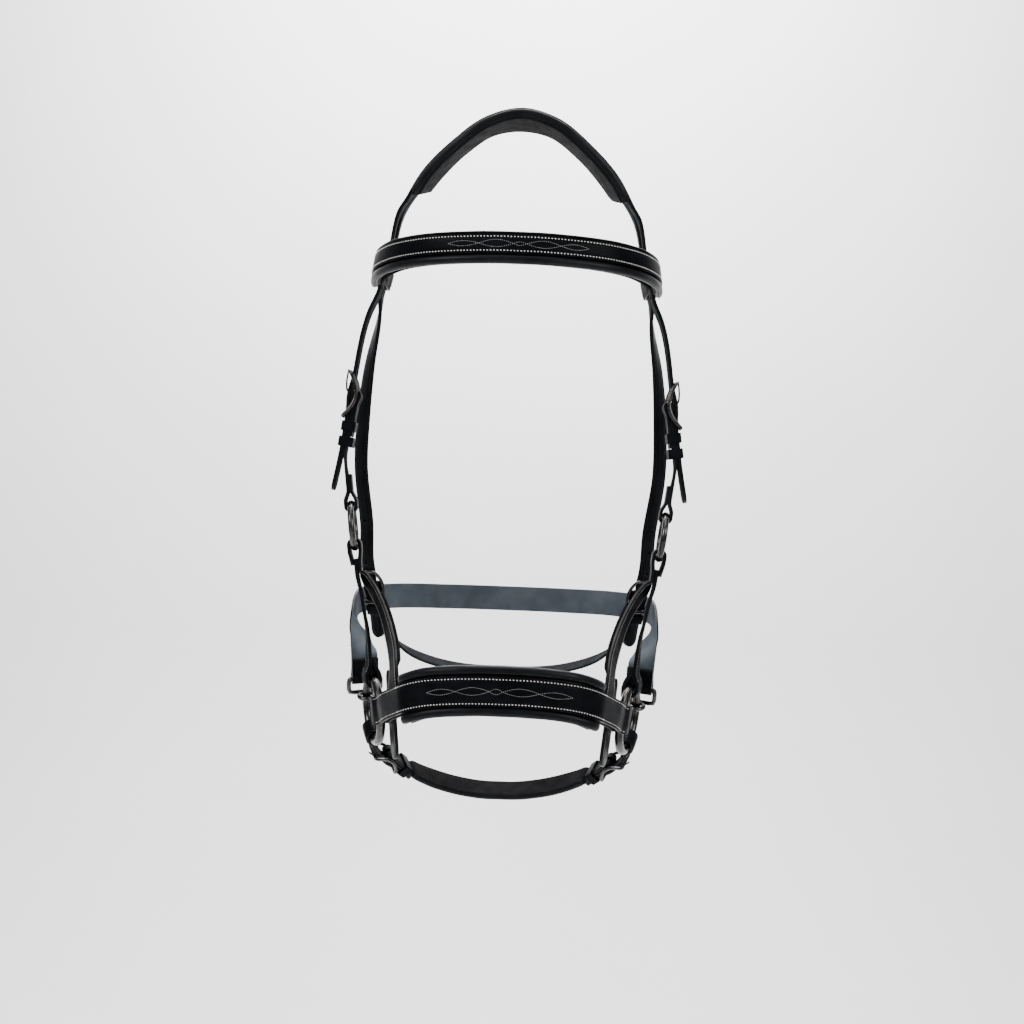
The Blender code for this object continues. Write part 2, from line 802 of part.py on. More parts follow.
def make_crown(leather, padding):
    """The crown strap with its four billets in one hide, and the pad under it."""
    shell = Shell()
    half = CROWN_LEATHER / 2
    asides = [-CROWN_WIDTH / 2, -CROWN_SLIT / 2, CROWN_SLIT / 2, CROWN_WIDTH / 2]
    pad_end = CROWN_LINE.length - KEEPER_LENGTH
    marks = CROWN_LINE.marks(FLAT_HALF, extra=[pad_end])
    front, rear = billet_lines()
    section = lambda s: [(a, half, -half) for a in asides]
    ends = {}
    for side in (1, -1):
        tag = "left" if side == 1 else "right"
        ends[side] = shell.band(tag, CROWN_LINE, marks, section, mirror=side == -1)
        last = ends[side][-1]
        backwards_across = CROWN_LINE.at(CROWN_LINE.length)[2][1] < 0
        rear_keys, front_keys = (last[:2], last[2:]) if backwards_across else (last[2:], last[:2])
        for part, path, buckle, below, keys in (
            ("front", front, CHEEK_BUCKLE, CHEEK_LIE, front_keys),
            ("rear", rear, THROAT_BUCKLE, THROAT_LIE, rear_keys),
        ):
            hole = hole_span(path, buckle)
            extra = [*hole, *buckle.bar_marks(path, below), *tip_marks(path.length, TIP_LENGTH)]
            sections = tipped(BILLET_WIDTH, CROWN_LEATHER, path.length, TIP_LENGTH, [hole], buckle.hole_width())
            shell.band(tag + part, path, path.marks(extra=extra), sections, [hole], keys, side == -1)
    for j in range(3):
        a, b = ends[-1][0], ends[1][0]
        shell.faces.append((a[j], a[j + 1], b[j + 1], b[j]))
    add("crown_strap", shell.mesh(), leather)

    under = -half - SEAT
    shares = (-1, -0.86, -0.5, 0.5, 0.86, 1)
    fullness = (0.3, 0.72, 1, 1, 0.72, 0.3)

    def padded(s):
        return [
            (CROWN_PAD_WIDTH / 2 * share, under, under - CROWN_PAD_THICKNESS * full)
            for share, full in zip(shares, fullness)
        ]

    pad = symmetric("pad", Shell(), CROWN_LINE, padded, within(marks, FLAT_HALF, pad_end))
    add("crown_pad", pad.mesh(), padding)


# The browband's plan, in shares of the way from the face to the crown
BROW_SHARES = ((0, 0), (0.1, 0), (0.32, 0.035), (0.6, 0.14), (0.82, 0.33), (0.95, 0.58))
BROW_FACING = ((0, -1, 0), (0.04, -1, 0), (0.25, -0.97, 0), (0.6, -0.8, 0), (0.86, -0.5, 0), (0.97, -0.2, 0.1))


def brow_line():
    """The browband's strap from the middle of the face, outside the billets, round and back inside."""
    out_depth = 2 * BROW_LOOP_ROOM - CROWN_LEATHER / 2 - SEAT - BROW_LEATHER / 2 + BROW_LEATHER
    in_depth = -(CROWN_LEATHER / 2 + SEAT + BROW_LEATHER / 2)
    radius = (out_depth - in_depth) / 2
    centre = BROW_SEAT + BROW_OUT * (out_depth + in_depth) / 2
    rear = np.array([0, CROWN_WIDTH / 2 + SLACK, 0])
    front = np.array([0, -CROWN_WIDTH / 2 - SLACK, 0])
    goal = centre + front + BROW_OUT * radius
    top = BROW_STRAP_LIFT - BROW_DROP
    points = [
        np.array([goal[0] * x, -FACE_FRONT + (goal[1] + FACE_FRONT) * y, top + (goal[2] - top) * y])
        for x, y in BROW_SHARES
    ]
    outer = smooth(
        [*points, goal, centre + rear + BROW_OUT * radius], [*BROW_FACING, BROW_OUT, BROW_OUT], (1, 0, 0)
    )
    turn = bend(centre + rear, np.array([0, -1, 0]), BROW_OUT, radius)
    back = CROWN_WIDTH + 2 * SLACK
    inner = (
        [centre + rear - BROW_OUT * radius - np.array([0, back * share, 0]) for share in (0, 0.5, 1)],
        [-BROW_OUT] * 3,
    )
    return Path(*outer), join((list(outer[0]), list(outer[1])), turn, inner), nearest(Path(*outer), goal)


PAD_EDGE_SHARES = (1, 0.86)
PAD_SINK_SHARE = 0.42


def padded_back(width, lift, top, thickness, strap):
    """The section of a padded body behind a strap, rounded off along its edges."""
    rim, bevel = (width / 2 * share for share in PAD_EDGE_SHARES)
    asides = [lift - rim, lift - bevel, -strap / 2, strap / 2, lift + bevel, lift + rim]
    sinks = [PAD_SINK_SHARE, 0, 0, 0, 0, PAD_SINK_SHARE]

    def section(s):
        return [(a, top - thickness * sink, top - thickness * (1 - sink / 2)) for a, sink in zip(asides, sinks)]

    return section


def lining_section(edge, lift, under, strap):
    """The section of a lining under a padded body."""
    return lambda s: [(a, under, under - LINING_LEATHER) for a in (lift - edge, -strap / 2, strap / 2, lift + edge)]


def make_browband(leather, padding, lining):
    """The browband: a strap folded round the billets at each end, its padded body and its lining."""
    outer, whole, end = brow_line()
    sections = flat(BROW_STRAP_WIDTH, BROW_LEATHER)
    stop = end - 2 * BROW_LEATHER
    marks = whole.marks(FLAT_HALF, extra=[stop])
    behind = within(marks, FLAT_HALF, stop)
    add("browband_strap", symmetric("strap", Shell(), whole, sections, marks).mesh(), leather)
    _, _, across, _ = outer.at(FLAT_HALF)
    lift = -BROW_STRAP_LIFT * math.copysign(1, across[2])
    top = -BROW_LEATHER / 2 - SEAT
    body = padded_back(BROW_PAD_WIDTH, lift, top, BROW_PAD_THICKNESS, BROW_STRAP_WIDTH)
    add("browband_pad", symmetric("pad", Shell(), whole, body, behind).mesh(), padding)
    under = top - BROW_PAD_THICKNESS - SEAT
    edge = BROW_PAD_WIDTH / 2 - LINING_LEATHER / 2
    skin = lining_section(edge, lift, under, BROW_STRAP_WIDTH)
    add("browband_lining", symmetric("lining", Shell(), whole, skin, behind).mesh(), lining)


# The noseband's plan from the middle of the face to where it runs straight to the ring
NOSE_SHARES = ((0, 0, 0), (0.13, 0, 0), (0.45, 0.1, 0.1), (0.78, 0.42, 0.42))
NOSE_SEAT_SHARES = (1, 0.86, 0.55, 0.2)
NOSE_END_SHARES = ((1, 1), (0.6, 0.4), (0.36, 0.04), (0, 0))
NOSE_FACING = ((0, -1, 0), (0.02, -1, 0), (0.25, -0.96, 0), (0.6, -0.8, 0))
NOSE_YAW = math.radians(26)
NOSE_OUT = np.array([math.cos(NOSE_YAW), -math.sin(NOSE_YAW), 0])
NOSE_KNEE = 28 * MM
NOSE_RISE = 3.5 * MM
NOSE_SEAT = 34 * MM
NOSE_CLIMB = 10 * MM
NOSE_BRANCH_SHARE = 0.52


def nose_line():
    """The middle of the noseband's doubled end, carried on to the middle of the face."""
    fold = BIG_RING.fold(NOSE_FOLD, NOSE_STRAP_WIDTH)
    way, up = BIG_RING.way(NOSE_FOLD), BIG_RING.tangent(NOSE_FOLD)
    ending = [fold + way * NOSE_KNEE * along + up * NOSE_RISE * rise for along, rise in NOSE_END_SHARES]
    knee, rise = ending[0], np.array([0, 0, 1])
    ahead = np.array([NOSE_OUT[1], -NOSE_OUT[0], 0])
    seat = [knee + ahead * NOSE_SEAT * share + rise * NOSE_CLIMB * share for share in NOSE_SEAT_SHARES]
    front = np.array([0, -FACE_FRONT, -NOSE_DROP])
    points = between(front, seat[0], NOSE_SHARES)
    facing = [*NOSE_FACING] + [NOSE_OUT] * len(seat) + [BIG_RING.axis] * len(ending)
    return Path(*smooth([*points, *seat, *ending], facing, (1, 0, 0)))


NOSE_LINE = nose_line()
NOSE_LAP = BRANCH_LEATHER / 2 + SEAT + NOSE_LEATHER / 2
NOSE_BRANCH = NOSE_LINE.length - NOSE_KNEE - NOSE_SEAT * NOSE_BRANCH_SHARE
NOSE_PAD_END = NOSE_BRANCH - BRANCH_WIDTH / 2 - NOSE_LEATHER


def make_noseband(leather, padding, lining):
    """The noseband: a strap folded round each big ring, its padded body and its lining."""
    line = NOSE_LINE
    wide = BIG_RING.wire + SLACK + NOSE_LEATHER / 2

    def depth(s):
        return eased(s, line.length, wide, NOSE_LAP, 3 * NOSE_LEATHER, BIG_RING.hold(NOSE_STRAP_WIDTH))

    _, along, across, out = line.at(line.length)
    whole = join(
        run(line, 0, line.length, depth),
        bend(line.points[-1], -along, out, wide),
        run(line, line.length, NOSE_PAD_END + SLACK, lambda s: -depth(s)),
    )
    sections = flat(NOSE_STRAP_WIDTH, NOSE_LEATHER)
    marks = whole.marks(FLAT_HALF, extra=[NOSE_PAD_END])
    behind = within(marks, FLAT_HALF, NOSE_PAD_END)
    add("noseband_strap", symmetric("strap", Shell(), whole, sections, marks).mesh(), leather)
    top = -NOSE_LEATHER / 2 - SEAT
    body = padded_back(NOSE_PAD_WIDTH, 0, top, NOSE_PAD_THICKNESS, NOSE_STRAP_WIDTH)
    add("noseband_pad", symmetric("pad", Shell(), whole, body, behind).mesh(), padding)
    under = top - NOSE_PAD_THICKNESS - SEAT
    edge = NOSE_PAD_WIDTH / 2 - LINING_LEATHER / 2
    skin = lining_section(edge, 0, under, NOSE_STRAP_WIDTH)
    add("noseband_lining", symmetric("lining", Shell(), whole, skin, behind).mesh(), lining)


GUARD_HEIGHT = 71 * MM
GUARD_WIDTH = 19 * MM
GUARD_AHEAD = 6 * MM


def make_guard(side, name, lining):
    """The upright leather tab that lies inside the noseband's fold, between the big ring and the cheek."""
    line = NOSE_LINE
    point, along, across, out = line.at(line.length - GUARD_AHEAD)
    wide = BIG_RING.wire + SLACK + NOSE_LEATHER / 2
    centre = point - out * (wide + NOSE_LEATHER / 2 + SEAT + BRANCH_LEATHER / 2)
    up = BIG_RING.up
    centre += up * (-BIG_RING_DROP - centre[2]) / up[2]
    half = GUARD_HEIGHT / 2
    path = Path([centre - up * half, centre, centre + up * half], [BIG_RING.axis] * 3)
    tip = GUARD_WIDTH / 2
    section = tipped(GUARD_WIDTH, BRANCH_LEATHER, path.length, tip, start_tip=tip)
    starts = [tip * (1 - share) for share in TIP_SHARES]
    shell = Shell()
    shell.band("guard", path, path.marks(extra=[*starts, *tip_marks(path.length, tip)]), section)
    add("ring_guard_" + name, shell.mesh(), lining, side=side)


def add_buckle(area, name, buckle, side, steel):
    """The frame and tongue of a buckle, and their shading."""
    frame = add(area + "_buckle_" + name, buckle.frame(), steel, side=side)
    flip = np.array([side, 1, 1])
    points, faces = buckle.middle_bar()
    unite(frame, ([p * flip for p in points], faces))
    shade(frame, 50)
    tongue = add(area + "_tongue_" + name, buckle.tongue(), steel, buckle.bar, side)
    shade(tongue, 50)


def strap_with_slot(path, width, thickness, buckle):
    """A strap whose fold round a buckle's bar is slotted for the tongue, with its start at that fold."""
    low = nearest(path, buckle.place(-3 * buckle.fold, -buckle.lap))
    high = nearest(path, buckle.place(-2 * buckle.fold, buckle.lap))
    hole = (low, high)
    section = tipped(width, thickness, path.length + width, width, [hole], buckle.hole_width())
    shell = Shell()
    shell.band("strap", path, path.marks(extra=hole), section, [hole])
    return shell.mesh()


CHEEK_BACK_PLY = 34 * MM
CHEEK_STRAIGHT = 46 * MM
CHEEK_FOOT = 26 * MM


def make_cheek(side, name, leather, steel):
    """One cheekpiece between its buckle and the small ring, with buckle, keepers and ring."""
    buckle = CHEEK_BUCKLE
    fold = SMALL_RING.fold(CHEEK_FOLD, CHEEK_WIDTH)
    way = SMALL_RING.way(CHEEK_FOLD)
    points = [
        *straight(buckle.bar, buckle.place(-CHEEK_STRAIGHT, 0)),
        *straight(fold, fold + way * CHEEK_FOOT)[::-1],
    ]
    line = Path(*smooth(points, [buckle.out] * 4 + [SMALL_RING.axis] * 4))
    wide = SMALL_RING.wire + SLACK + CHEEK_LEATHER / 2
    hold = SMALL_RING.hold(CHEEK_WIDTH)
    path = folded_strap(line, buckle.fold, wide, hold, CHEEK_LEATHER, buckle.lap, CHEEK_BACK_PLY, CHEEK_FOOT)
    shape = strap_with_slot(path, CHEEK_WIDTH, CHEEK_LEATHER, buckle)
    add("cheekpiece_" + name, shape, leather, side=side)
    add_buckle("cheek", name, buckle, side, steel)
    first = -buckle.half - buckle.rim - KEEPER_LENGTH * 0.75
    add("cheek_keeper_" + name, buckle.keeper(first), leather, side=side)
    second = first - KEEPER_LENGTH * 1.6
    seat = buckle.place(second, 0)
    add("cheek_runner_" + name, buckle.keeper(second, SLACK / 2), leather, seat, side)
    ring = add("small_ring_" + name, SMALL_RING.shape(), steel, SMALL_RING.centre, side)
    shade(ring, 50)


# The branches' ways down from the small ring, in shares
FRONT_BRANCH_SHARES = ((0.22, 0.09, 0.13), (0.52, 0.28, 0.32), (0.74, 0.48, 0.51), (0.91, 0.72, 0.72))
FRONT_BRANCH_FACING = ((0.99, -0.03, 0.1), (0.96, -0.17, 0), (0.93, -0.31, 0), (0.91, -0.4, 0))
REAR_BRANCH_SHARES = ((0.44, 0.3, 0.3), (0.74, 0.55, 0.54))
BRANCH_STEM = 22 * MM
BRANCH_HEAD = SMALL_RING.wire + SLACK + 3 * BRANCH_LEATHER
BRANCH_ENTRY = 14 * MM
BRANCH_RAKE = math.radians(16)
LINING_LENGTH = 70 * MM
BRANCH_BACK_PLY = 17 * MM


def branch_lines():
    """The middles of the front and rear branches, from the small ring down."""
    fold = SMALL_RING.fold(BRANCH_FOLD, BRANCH_WIDTH)
    down = SMALL_RING.way(BRANCH_FOLD)
    out = SMALL_RING.axis
    stem = fold + down * BRANCH_STEM
    seat, _, _, seat_out = NOSE_LINE.at(NOSE_BRANCH)
    ahead = np.array([seat_out[1], -seat_out[0], 0])
    fall = ahead * math.sin(BRANCH_RAKE) - np.array([0, 0, 1]) * math.cos(BRANCH_RAKE)
    entry, foot = seat - fall * BRANCH_ENTRY, seat + fall * BRANCH_ENTRY / 2
    front = [*straight(fold, stem), *between(stem, entry, FRONT_BRANCH_SHARES), *straight(foot, entry)[::-1]]
    facing = [out] * 4 + [*FRONT_BRANCH_FACING] + [seat_out] * 4
    front_path = Path(*smooth(front, facing))
    ring_fold = BIG_RING.fold(REAR_BRANCH_FOLD, REAR_BRANCH_WIDTH)
    up = BIG_RING.way(REAR_BRANCH_FOLD)
    head = fold + down * BRANCH_HEAD
    rear = [*straight(head, stem), *between(stem, ring_fold, REAR_BRANCH_SHARES)]
    rear += [ring_fold + up * REAR_BRANCH_WIDTH, ring_fold]
    facing = [out] * 5 + [unit(out + BIG_RING.axis), BIG_RING.axis, BIG_RING.axis]
    return front_path, Path(*smooth(rear, facing))


def make_branches(side, name, leather, lining):
    """The front branch with its lining, and the rear branch sewn into its stem."""
    front, rear = branch_lines()
    wide = SMALL_RING.wire + SLACK + BRANCH_LEATHER / 2
    lap = BRANCH_LEATHER + SEAT

    def front_depth(s):
        if s < BRANCH_BACK_PLY + BRANCH_STEM / 2:
            return eased(s, 0, wide, lap, 4 * BRANCH_LEATHER, SMALL_RING.hold(BRANCH_WIDTH))
        return eased(s, BRANCH_BACK_PLY + BRANCH_STEM / 2, lap, 0, front.length / 2)

    _, along, _, out = front.at(0)
    path = join(
        run(front, BRANCH_BACK_PLY, 0, front_depth),
        backwards(bend(front.points[0], along, -out, wide)),
        run(front, 0, front.length, lambda s: -front_depth(s) - 1e-12),
    )
    shell = Shell()
    section = tipped(BRANCH_WIDTH, BRANCH_LEATHER, path.length + BRANCH_WIDTH, BRANCH_WIDTH, start_tip=TIP_LENGTH)
    tip = [TIP_LENGTH * (1 - share) for share in TIP_SHARES]
    end = path.length - NOSE_STRAP_WIDTH - 2 * KEEPER_LENGTH
    start = end - LINING_LENGTH
    stem, entry = path.length - front.length + BRANCH_STEM, path.length - BRANCH_ENTRY * 1.5
    marks = path.marks(extra=[*tip, stem, start, end, entry])
    shell.band("front", path, marks, section)
    add("front_branch_" + name, shell.mesh(), leather, side=side)

    seat = BRANCH_LEATHER / 2 + SEAT
    skin = lambda s: [(half, seat + LINING_LEATHER, seat) for half in (-BRANCH_WIDTH / 2, BRANCH_WIDTH / 2)]
    shell = Shell()
    shell.band("lining", path, within(marks, start, end), skin)
    add("front_branch_lining_" + name, shell.mesh(), lining, side=side)

    wide = BIG_RING.wire + SLACK + BRANCH_LEATHER / 2
    lap = (BRANCH_LEATHER + SEAT) / 2

    def rear_depth(s):
        if s < rear.length / 3:
            return 0
        return eased(s, rear.length, wide, lap, 4 * BRANCH_LEATHER, BIG_RING.hold(REAR_BRANCH_WIDTH))

    def outer_depth(s):
        if s < rear.length / 2:
            return eased(s, rear.length / 2, lap, 0, rear.length / 4)
        return rear_depth(s)

    _, along, _, out = rear.at(rear.length)
    path = join(
        run(rear, 0, rear.length, outer_depth),
        bend(rear.points[-1], -along, out, wide),
        run(rear, rear.length, rear.length - BRANCH_BACK_PLY, lambda s: -rear_depth(s)),
    )
    shell = Shell()
    stem = BRANCH_STEM - BRANCH_HEAD
    marks = path.marks(extra=[stem, stem + 2 * BRANCH_LEATHER])
    shell.band("rear", path, marks, flat(REAR_BRANCH_WIDTH, BRANCH_LEATHER))
    add("rear_branch_" + name, shell.mesh(), leather, side=side)


# The chin strap from the buckle's straight stretch to the middle, in shares of the way
CHIN_SHARES = ((0.25, 0.58, 0.5), (0.6, 0.92, 0.88), (0.86, 1, 1), (1, 1, 1))
CHIN_FACING = ((0.6, 0.3, -0.74), (0.25, 0.4, -0.88), (0.04, 0.4, -0.91), (0, 0.4, -0.91))
THROAT_SHARES = ((0.16, 0.3, 0.5), (0.5, 0.72, 0.88), (0.82, 0.97, 1), (1, 1, 1))
THROAT_FACING = ((0.8, -0.1, -0.55), (0.5, 0.2, -0.84), (0.12, 0.34, -0.93), (0, 0.35, -0.94))
STRAIGHT_SHARE = 2.1
SMALL_BACK_PLY = 24 * MM


def hung_strap(buckle, low, shares, facing, lap_spread):
    """A strap's line from its buckle to the middle of the jaw, and its path with the folded end."""
    stretch = buckle.half + STRAIGHT_SHARE * KEEPER_LENGTH
    points = straight(buckle.bar, buckle.place(-stretch, 0))
    points += between(points[-1], low, shares)
    line = Path(*smooth(points, [buckle.out] * 4 + list(facing)))

    def depth(s):
        return eased(s, 0, buckle.fold, buckle.lap, lap_spread)

    _, along, _, out = line.at(0)
    path = join(
        run(line, SMALL_BACK_PLY, 0, lambda s: -depth(s)),
        backwards(bend(line.points[0], along, out, buckle.fold)),
        run(line, 0, line.length, depth),
    )
    return path


def make_hung_strap(name, buckle, low, shares, facing, width, thickness, leather):
    """A strap under the jaw with a buckle fold, slotted, at each end, and its path and cross-sections."""
    path = hung_strap(buckle, low, shares, facing, 4 * thickness)
    low_s = nearest(path, buckle.place(-3 * buckle.fold, -buckle.lap))
    high_s = nearest(path, buckle.place(-2 * buckle.fold, buckle.lap))
    hole = (low_s, high_s)
    end = path.length - FLAT_HALF
    section = tipped(width, thickness, path.length + width, width, [hole], buckle.hole_width())
    shell = Shell()
    pad_start = nearest(path, buckle.place(-buckle.half - STRAIGHT_SHARE * KEEPER_LENGTH, buckle.lap))
    marks = path.marks(end=end, extra=[*hole, pad_start])
    left = shell.band("left", path, marks, section, [hole])
    right = shell.band("right", path, marks, section, [hole], mirror=True)
    for j in range(len(left[-1]) - 1):
        a, b = left[-1], right[-1]
        shell.faces.append((a[j], a[j + 1], b[j + 1], b[j]))
    add(name, shell.mesh(), leather)
    return path, within(marks, pad_start, end)


def make_chin(leather, padding, steel):
    """The chin strap and its pad, and on each side a billet from the big ring with its buckle and keeper."""
    buckle = CHIN_BUCKLE
    low = (0, CHIN_BACK, -CHIN_DROP)
    path, marks = make_hung_strap(
        "chin_strap", buckle, low, CHIN_SHARES, CHIN_FACING, CHIN_WIDTH, CHIN_LEATHER, leather
    )
    top = -CHIN_LEATHER / 2 - SEAT
    shares, fullness = (-1, -0.7, 0.7, 1), (0.35, 1, 1, 0.35)

    def body(s):
        half = CHIN_PAD_WIDTH / 2
        return [(half * share, top, top - CHIN_PAD_THICKNESS * full) for share, full in zip(shares, fullness)]

    shell = Shell()
    left = shell.band("left", path, marks, body)
    right = shell.band("right", path, marks, body, mirror=True)
    for j in range(3):
        a, b = left[-1], right[-1]
        shell.faces.append((a[j], a[j + 1], b[j + 1], b[j]))
    add("chin_pad", shell.mesh(), padding)

    fold = CHIN_WIRE
    way = CHIN_WAY
    wide = BIG_RING.wire + SLACK + CHIN_LEATHER / 2
    points = straight(fold, fold + way * CHIN_BACK_PLY)
    through = buckle.billet_points(buckle.half + buckle.rim, CHIN_LIE)
    points += [*through, buckle.place(-CHIN_TAIL, buckle.under + CHIN_LEATHER / 2)]
    billet = Path(*smooth(points, [CHIN_FACE] * 4 + [buckle.out] * (len(points) - 4)))
    lap = (CHIN_LEATHER + SEAT) / 2

    def depth(s):
        if s < CHIN_BACK_PLY:
            return eased(s, 0, wide, lap, 3 * CHIN_LEATHER, BIG_RING.hold(CHIN_WIDTH))
        return eased(s, CHIN_BACK_PLY, lap, 0, 2 * CHIN_LEATHER)

    _, along, _, face = billet.at(0)
    path = join(
        run(billet, CHIN_BACK_PLY, 0, lambda s: -depth(s)),
        backwards(bend(billet.points[0], along, face, wide)),
        run(billet, 0, billet.length, depth),
    )
    hole = hole_span(path, buckle)
    section = tipped(CHIN_WIDTH, CHIN_LEATHER, path.length, TIP_LENGTH, [hole], buckle.hole_width())
    for side, name in ((1, "left"), (-1, "right")):
        shell = Shell()
        marks = path.marks(extra=[*hole, *buckle.bar_marks(path, CHIN_LIE), *tip_marks(path.length, TIP_LENGTH)])
        shell.band("billet", path, marks, section, [hole])
        add("chin_billet_" + name, shell.mesh(), leather, side=side)
        add_buckle("chin", name, buckle, side, steel)
        height = -buckle.half - buckle.rim - KEEPER_LENGTH * 0.75
        add("chin_keeper_" + name, buckle.keeper(height), leather, side=side)


def make_throat(leather, steel):
    """The throat strap with a buckle and keeper at each end."""
    buckle = THROAT_BUCKLE
    low = (0, THROAT_BACK, -THROAT_DROP)
    make_hung_strap(
        "throat_strap", buckle, low, THROAT_SHARES, THROAT_FACING, THROAT_WIDTH, THROAT_LEATHER, leather
    )
    for side, name in ((1, "left"), (-1, "right")):
        add_buckle("throat", name, buckle, side, steel)
        height = -buckle.half - buckle.rim - KEEPER_LENGTH * 0.75
        add("throat_keeper_" + name, buckle.keeper(height), leather, side=side)


JAW_BACK_PLY = 17 * MM

# How far the jaw strap lies outside the throat buckles, and its route: shares of how wide, how far
# back and how high it gets
JAW_CLEAR = 14.4 * MM
JAW_SHARES = (
    (0.946, 0.14, 0.44),
    (0.991, 0.27, 0.72),
    (1, 0.4, 0.88),
    (0.964, 0.6, 0.96),
    (0.766, 0.82, 1),
    (0.432, 0.96, 1),
    (0.135, 1, 1),
    (0, 1, 1),
)
JAW_FACING = (
    (0.6, 0.75, 0.05),
    (0.95, 0.3, 0),
    (1, 0.08, 0),
    (0.95, 0.35, 0),
    (0.7, 0.7, 0),
    (0.3, 0.95, 0),
    (0.03, 1, 0),
    (0, 1, 0),
)


def make_jaw(leather, steel):
    """The jaw strap behind the big rings, held by a link round each ring."""
    ring = BIG_RING
    wire = LINK_WIRE / 2
    hold = ring.centre + ring.way(LINK_FOLD) * ring.radius
    back = ring.way(LINK_FOLD)
    aside = ring.axis
    rise = unit(np.cross(aside, back)) * math.copysign(1, np.cross(aside, back)[2])
    angles = [2 * math.pi * k / 16 for k in range(16)]
    eye = [hold + LINK_RADIUS * (back * math.cos(a) + aside * math.sin(a)) for a in angles]
    half, tall = JAW_WIDTH / 2 + SLACK + wire, 2 * JAW_LEATHER + 2 * LINK_WIRE
    foot = hold + back * (LINK_RADIUS + wire / 2) + rise * wire / 2
    loop = [(-0.7, 0), (0, 0), (0.7, 0), (1, 0.25), (1, 0.75), (0.85, 1), (-0.85, 1), (-1, 0.75), (-1, 0.25)]
    bow = [foot + aside * half * a + rise * tall * b for a, b in loop]
    bar = foot + rise * tall
    wide = wire + SLACK + JAW_LEATHER / 2
    points = straight(bar, bar + rise * JAW_BACK_PLY)
    _, near, low = points[-1]
    spread = THROAT_HALF + JAW_CLEAR
    for wide_share, back_share, rise_share in JAW_SHARES:
        far = near + (JAW_BACK - near) * back_share
        points.append(np.array([spread * wide_share, far, low - (JAW_DROP + low) * rise_share]))
    line = Path(*smooth(points, [back] * 4 + [*JAW_FACING]))
    lap = (JAW_LEATHER + SEAT) / 2

    def depth(s):
        return eased(s, 0, wide, lap, 4 * JAW_LEATHER)

    _, along, _, out = line.at(0)
    path = join(
        run(line, JAW_BACK_PLY, 0, lambda s: -depth(s)),
        backwards(bend(line.points[0], along, out, wide)),
        run(line, 0, line.length, depth),
    )
    shell = Shell()
    marks = path.marks(end=path.length - FLAT_HALF)
    left = shell.band("left", path, marks, flat(JAW_WIDTH, JAW_LEATHER))
    right = shell.band("right", path, marks, flat(JAW_WIDTH, JAW_LEATHER), mirror=True)
    shell.faces.append((*left[-1], *right[-1][::-1]))
    add("jaw_strap", shell.mesh(), leather)
    for side, name in ((1, "left"), (-1, "right")):
        flip = np.array([side, 1, 1])
        link = add("jaw_link_" + name, tube(eye, rise, wire, RIM_SIDES, closed=True), steel, side=side)
        points, faces = tube(bow, back, wire, RIM_SIDES, closed=True)
        unite(link, ([p * flip for p in points], faces))
        shade(link, 50)


def main():
    """Clears the scene and makes the bridle."""
    for thing in list(bpy.data.objects):
        bpy.data.objects.remove(thing)
    leather = finish_material("strap_leather", (0.018, 0.019, 0.022), 0.38)
    padding = finish_material("padded_leather", (0.02, 0.021, 0.025), 0.42)
    lining = finish_material("lining_leather", (0.028, 0.028, 0.03), 0.55)
    steel = finish_material("polished_steel", (0.5, 0.49, 0.48), 0.22, 1.0)
    make_crown(leather, padding)
    make_browband(leather, padding, lining)
    make_noseband(leather, padding, lining)
    for side, name in ((1, "left"), (-1, "right")):
        make_cheek(side, name, leather, steel)
        make_branches(side, name, leather, lining)
        make_guard(side, name, lining)
        ring = add("big_ring_" + name, BIG_RING.shape(), steel, BIG_RING.centre, side)
        shade(ring, 50)
    make_chin(leather, padding, steel)
    make_throat(leather, steel)
    make_jaw(leather, steel)


main()
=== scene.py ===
"""Sidepull bridle, dressed for show: hides, padding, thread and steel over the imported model.

Metres, +Z up. The horse faces -Y and its left is at +X. Each sub-assembly is a class that holds its
sizes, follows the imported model's own lines, and dresses them.
"""

from __future__ import annotations

from collections.abc import Callable, Iterable, Sequence
from dataclasses import dataclass, field
from enum import Enum
from functools import cached_property
import logging
import math

import bmesh
import bpy
from mathutils import Matrix, Vector
import numpy as np


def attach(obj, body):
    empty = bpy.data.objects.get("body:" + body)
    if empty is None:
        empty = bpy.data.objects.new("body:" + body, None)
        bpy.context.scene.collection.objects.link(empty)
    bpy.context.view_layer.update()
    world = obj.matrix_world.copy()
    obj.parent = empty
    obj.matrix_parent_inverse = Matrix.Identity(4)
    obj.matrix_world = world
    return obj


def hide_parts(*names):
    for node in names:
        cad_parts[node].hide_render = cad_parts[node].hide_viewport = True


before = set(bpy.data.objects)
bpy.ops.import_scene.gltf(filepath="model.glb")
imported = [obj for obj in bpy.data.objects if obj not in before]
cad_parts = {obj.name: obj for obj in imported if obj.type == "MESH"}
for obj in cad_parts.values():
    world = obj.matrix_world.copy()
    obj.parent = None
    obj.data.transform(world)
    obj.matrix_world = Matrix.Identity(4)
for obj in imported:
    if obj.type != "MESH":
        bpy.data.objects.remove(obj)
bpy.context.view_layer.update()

LOG = logging.getLogger("bridle")
MM = 0.001
SEAT = 0.3 * MM
SLACK = 0.5 * MM
LINE_SHARES = (0, 0.5, 0.87, 1)

Vec = np.ndarray
Depth = Callable[[float], float]
Run = tuple[list, list]


class Side(Enum):
    """The horse's own sides."""

    LEFT = 1
    RIGHT = -1

    @property
    def word(self) -> str:
        """The side's name, as the nodes have it."""
        return self.name.lower()

    @property
    def flip(self) -> Vec:
        """What a point of the left side is multiplied by."""
        return np.array([self.value, 1, 1])


# Lines and directions


def unit(vector: Sequence[float] | Vec) -> Vec:
    """The vector at length one, or each row of a table of them."""
    vector = np.asarray(vector, float)
    return vector / np.linalg.norm(vector, axis=-1, keepdims=True)


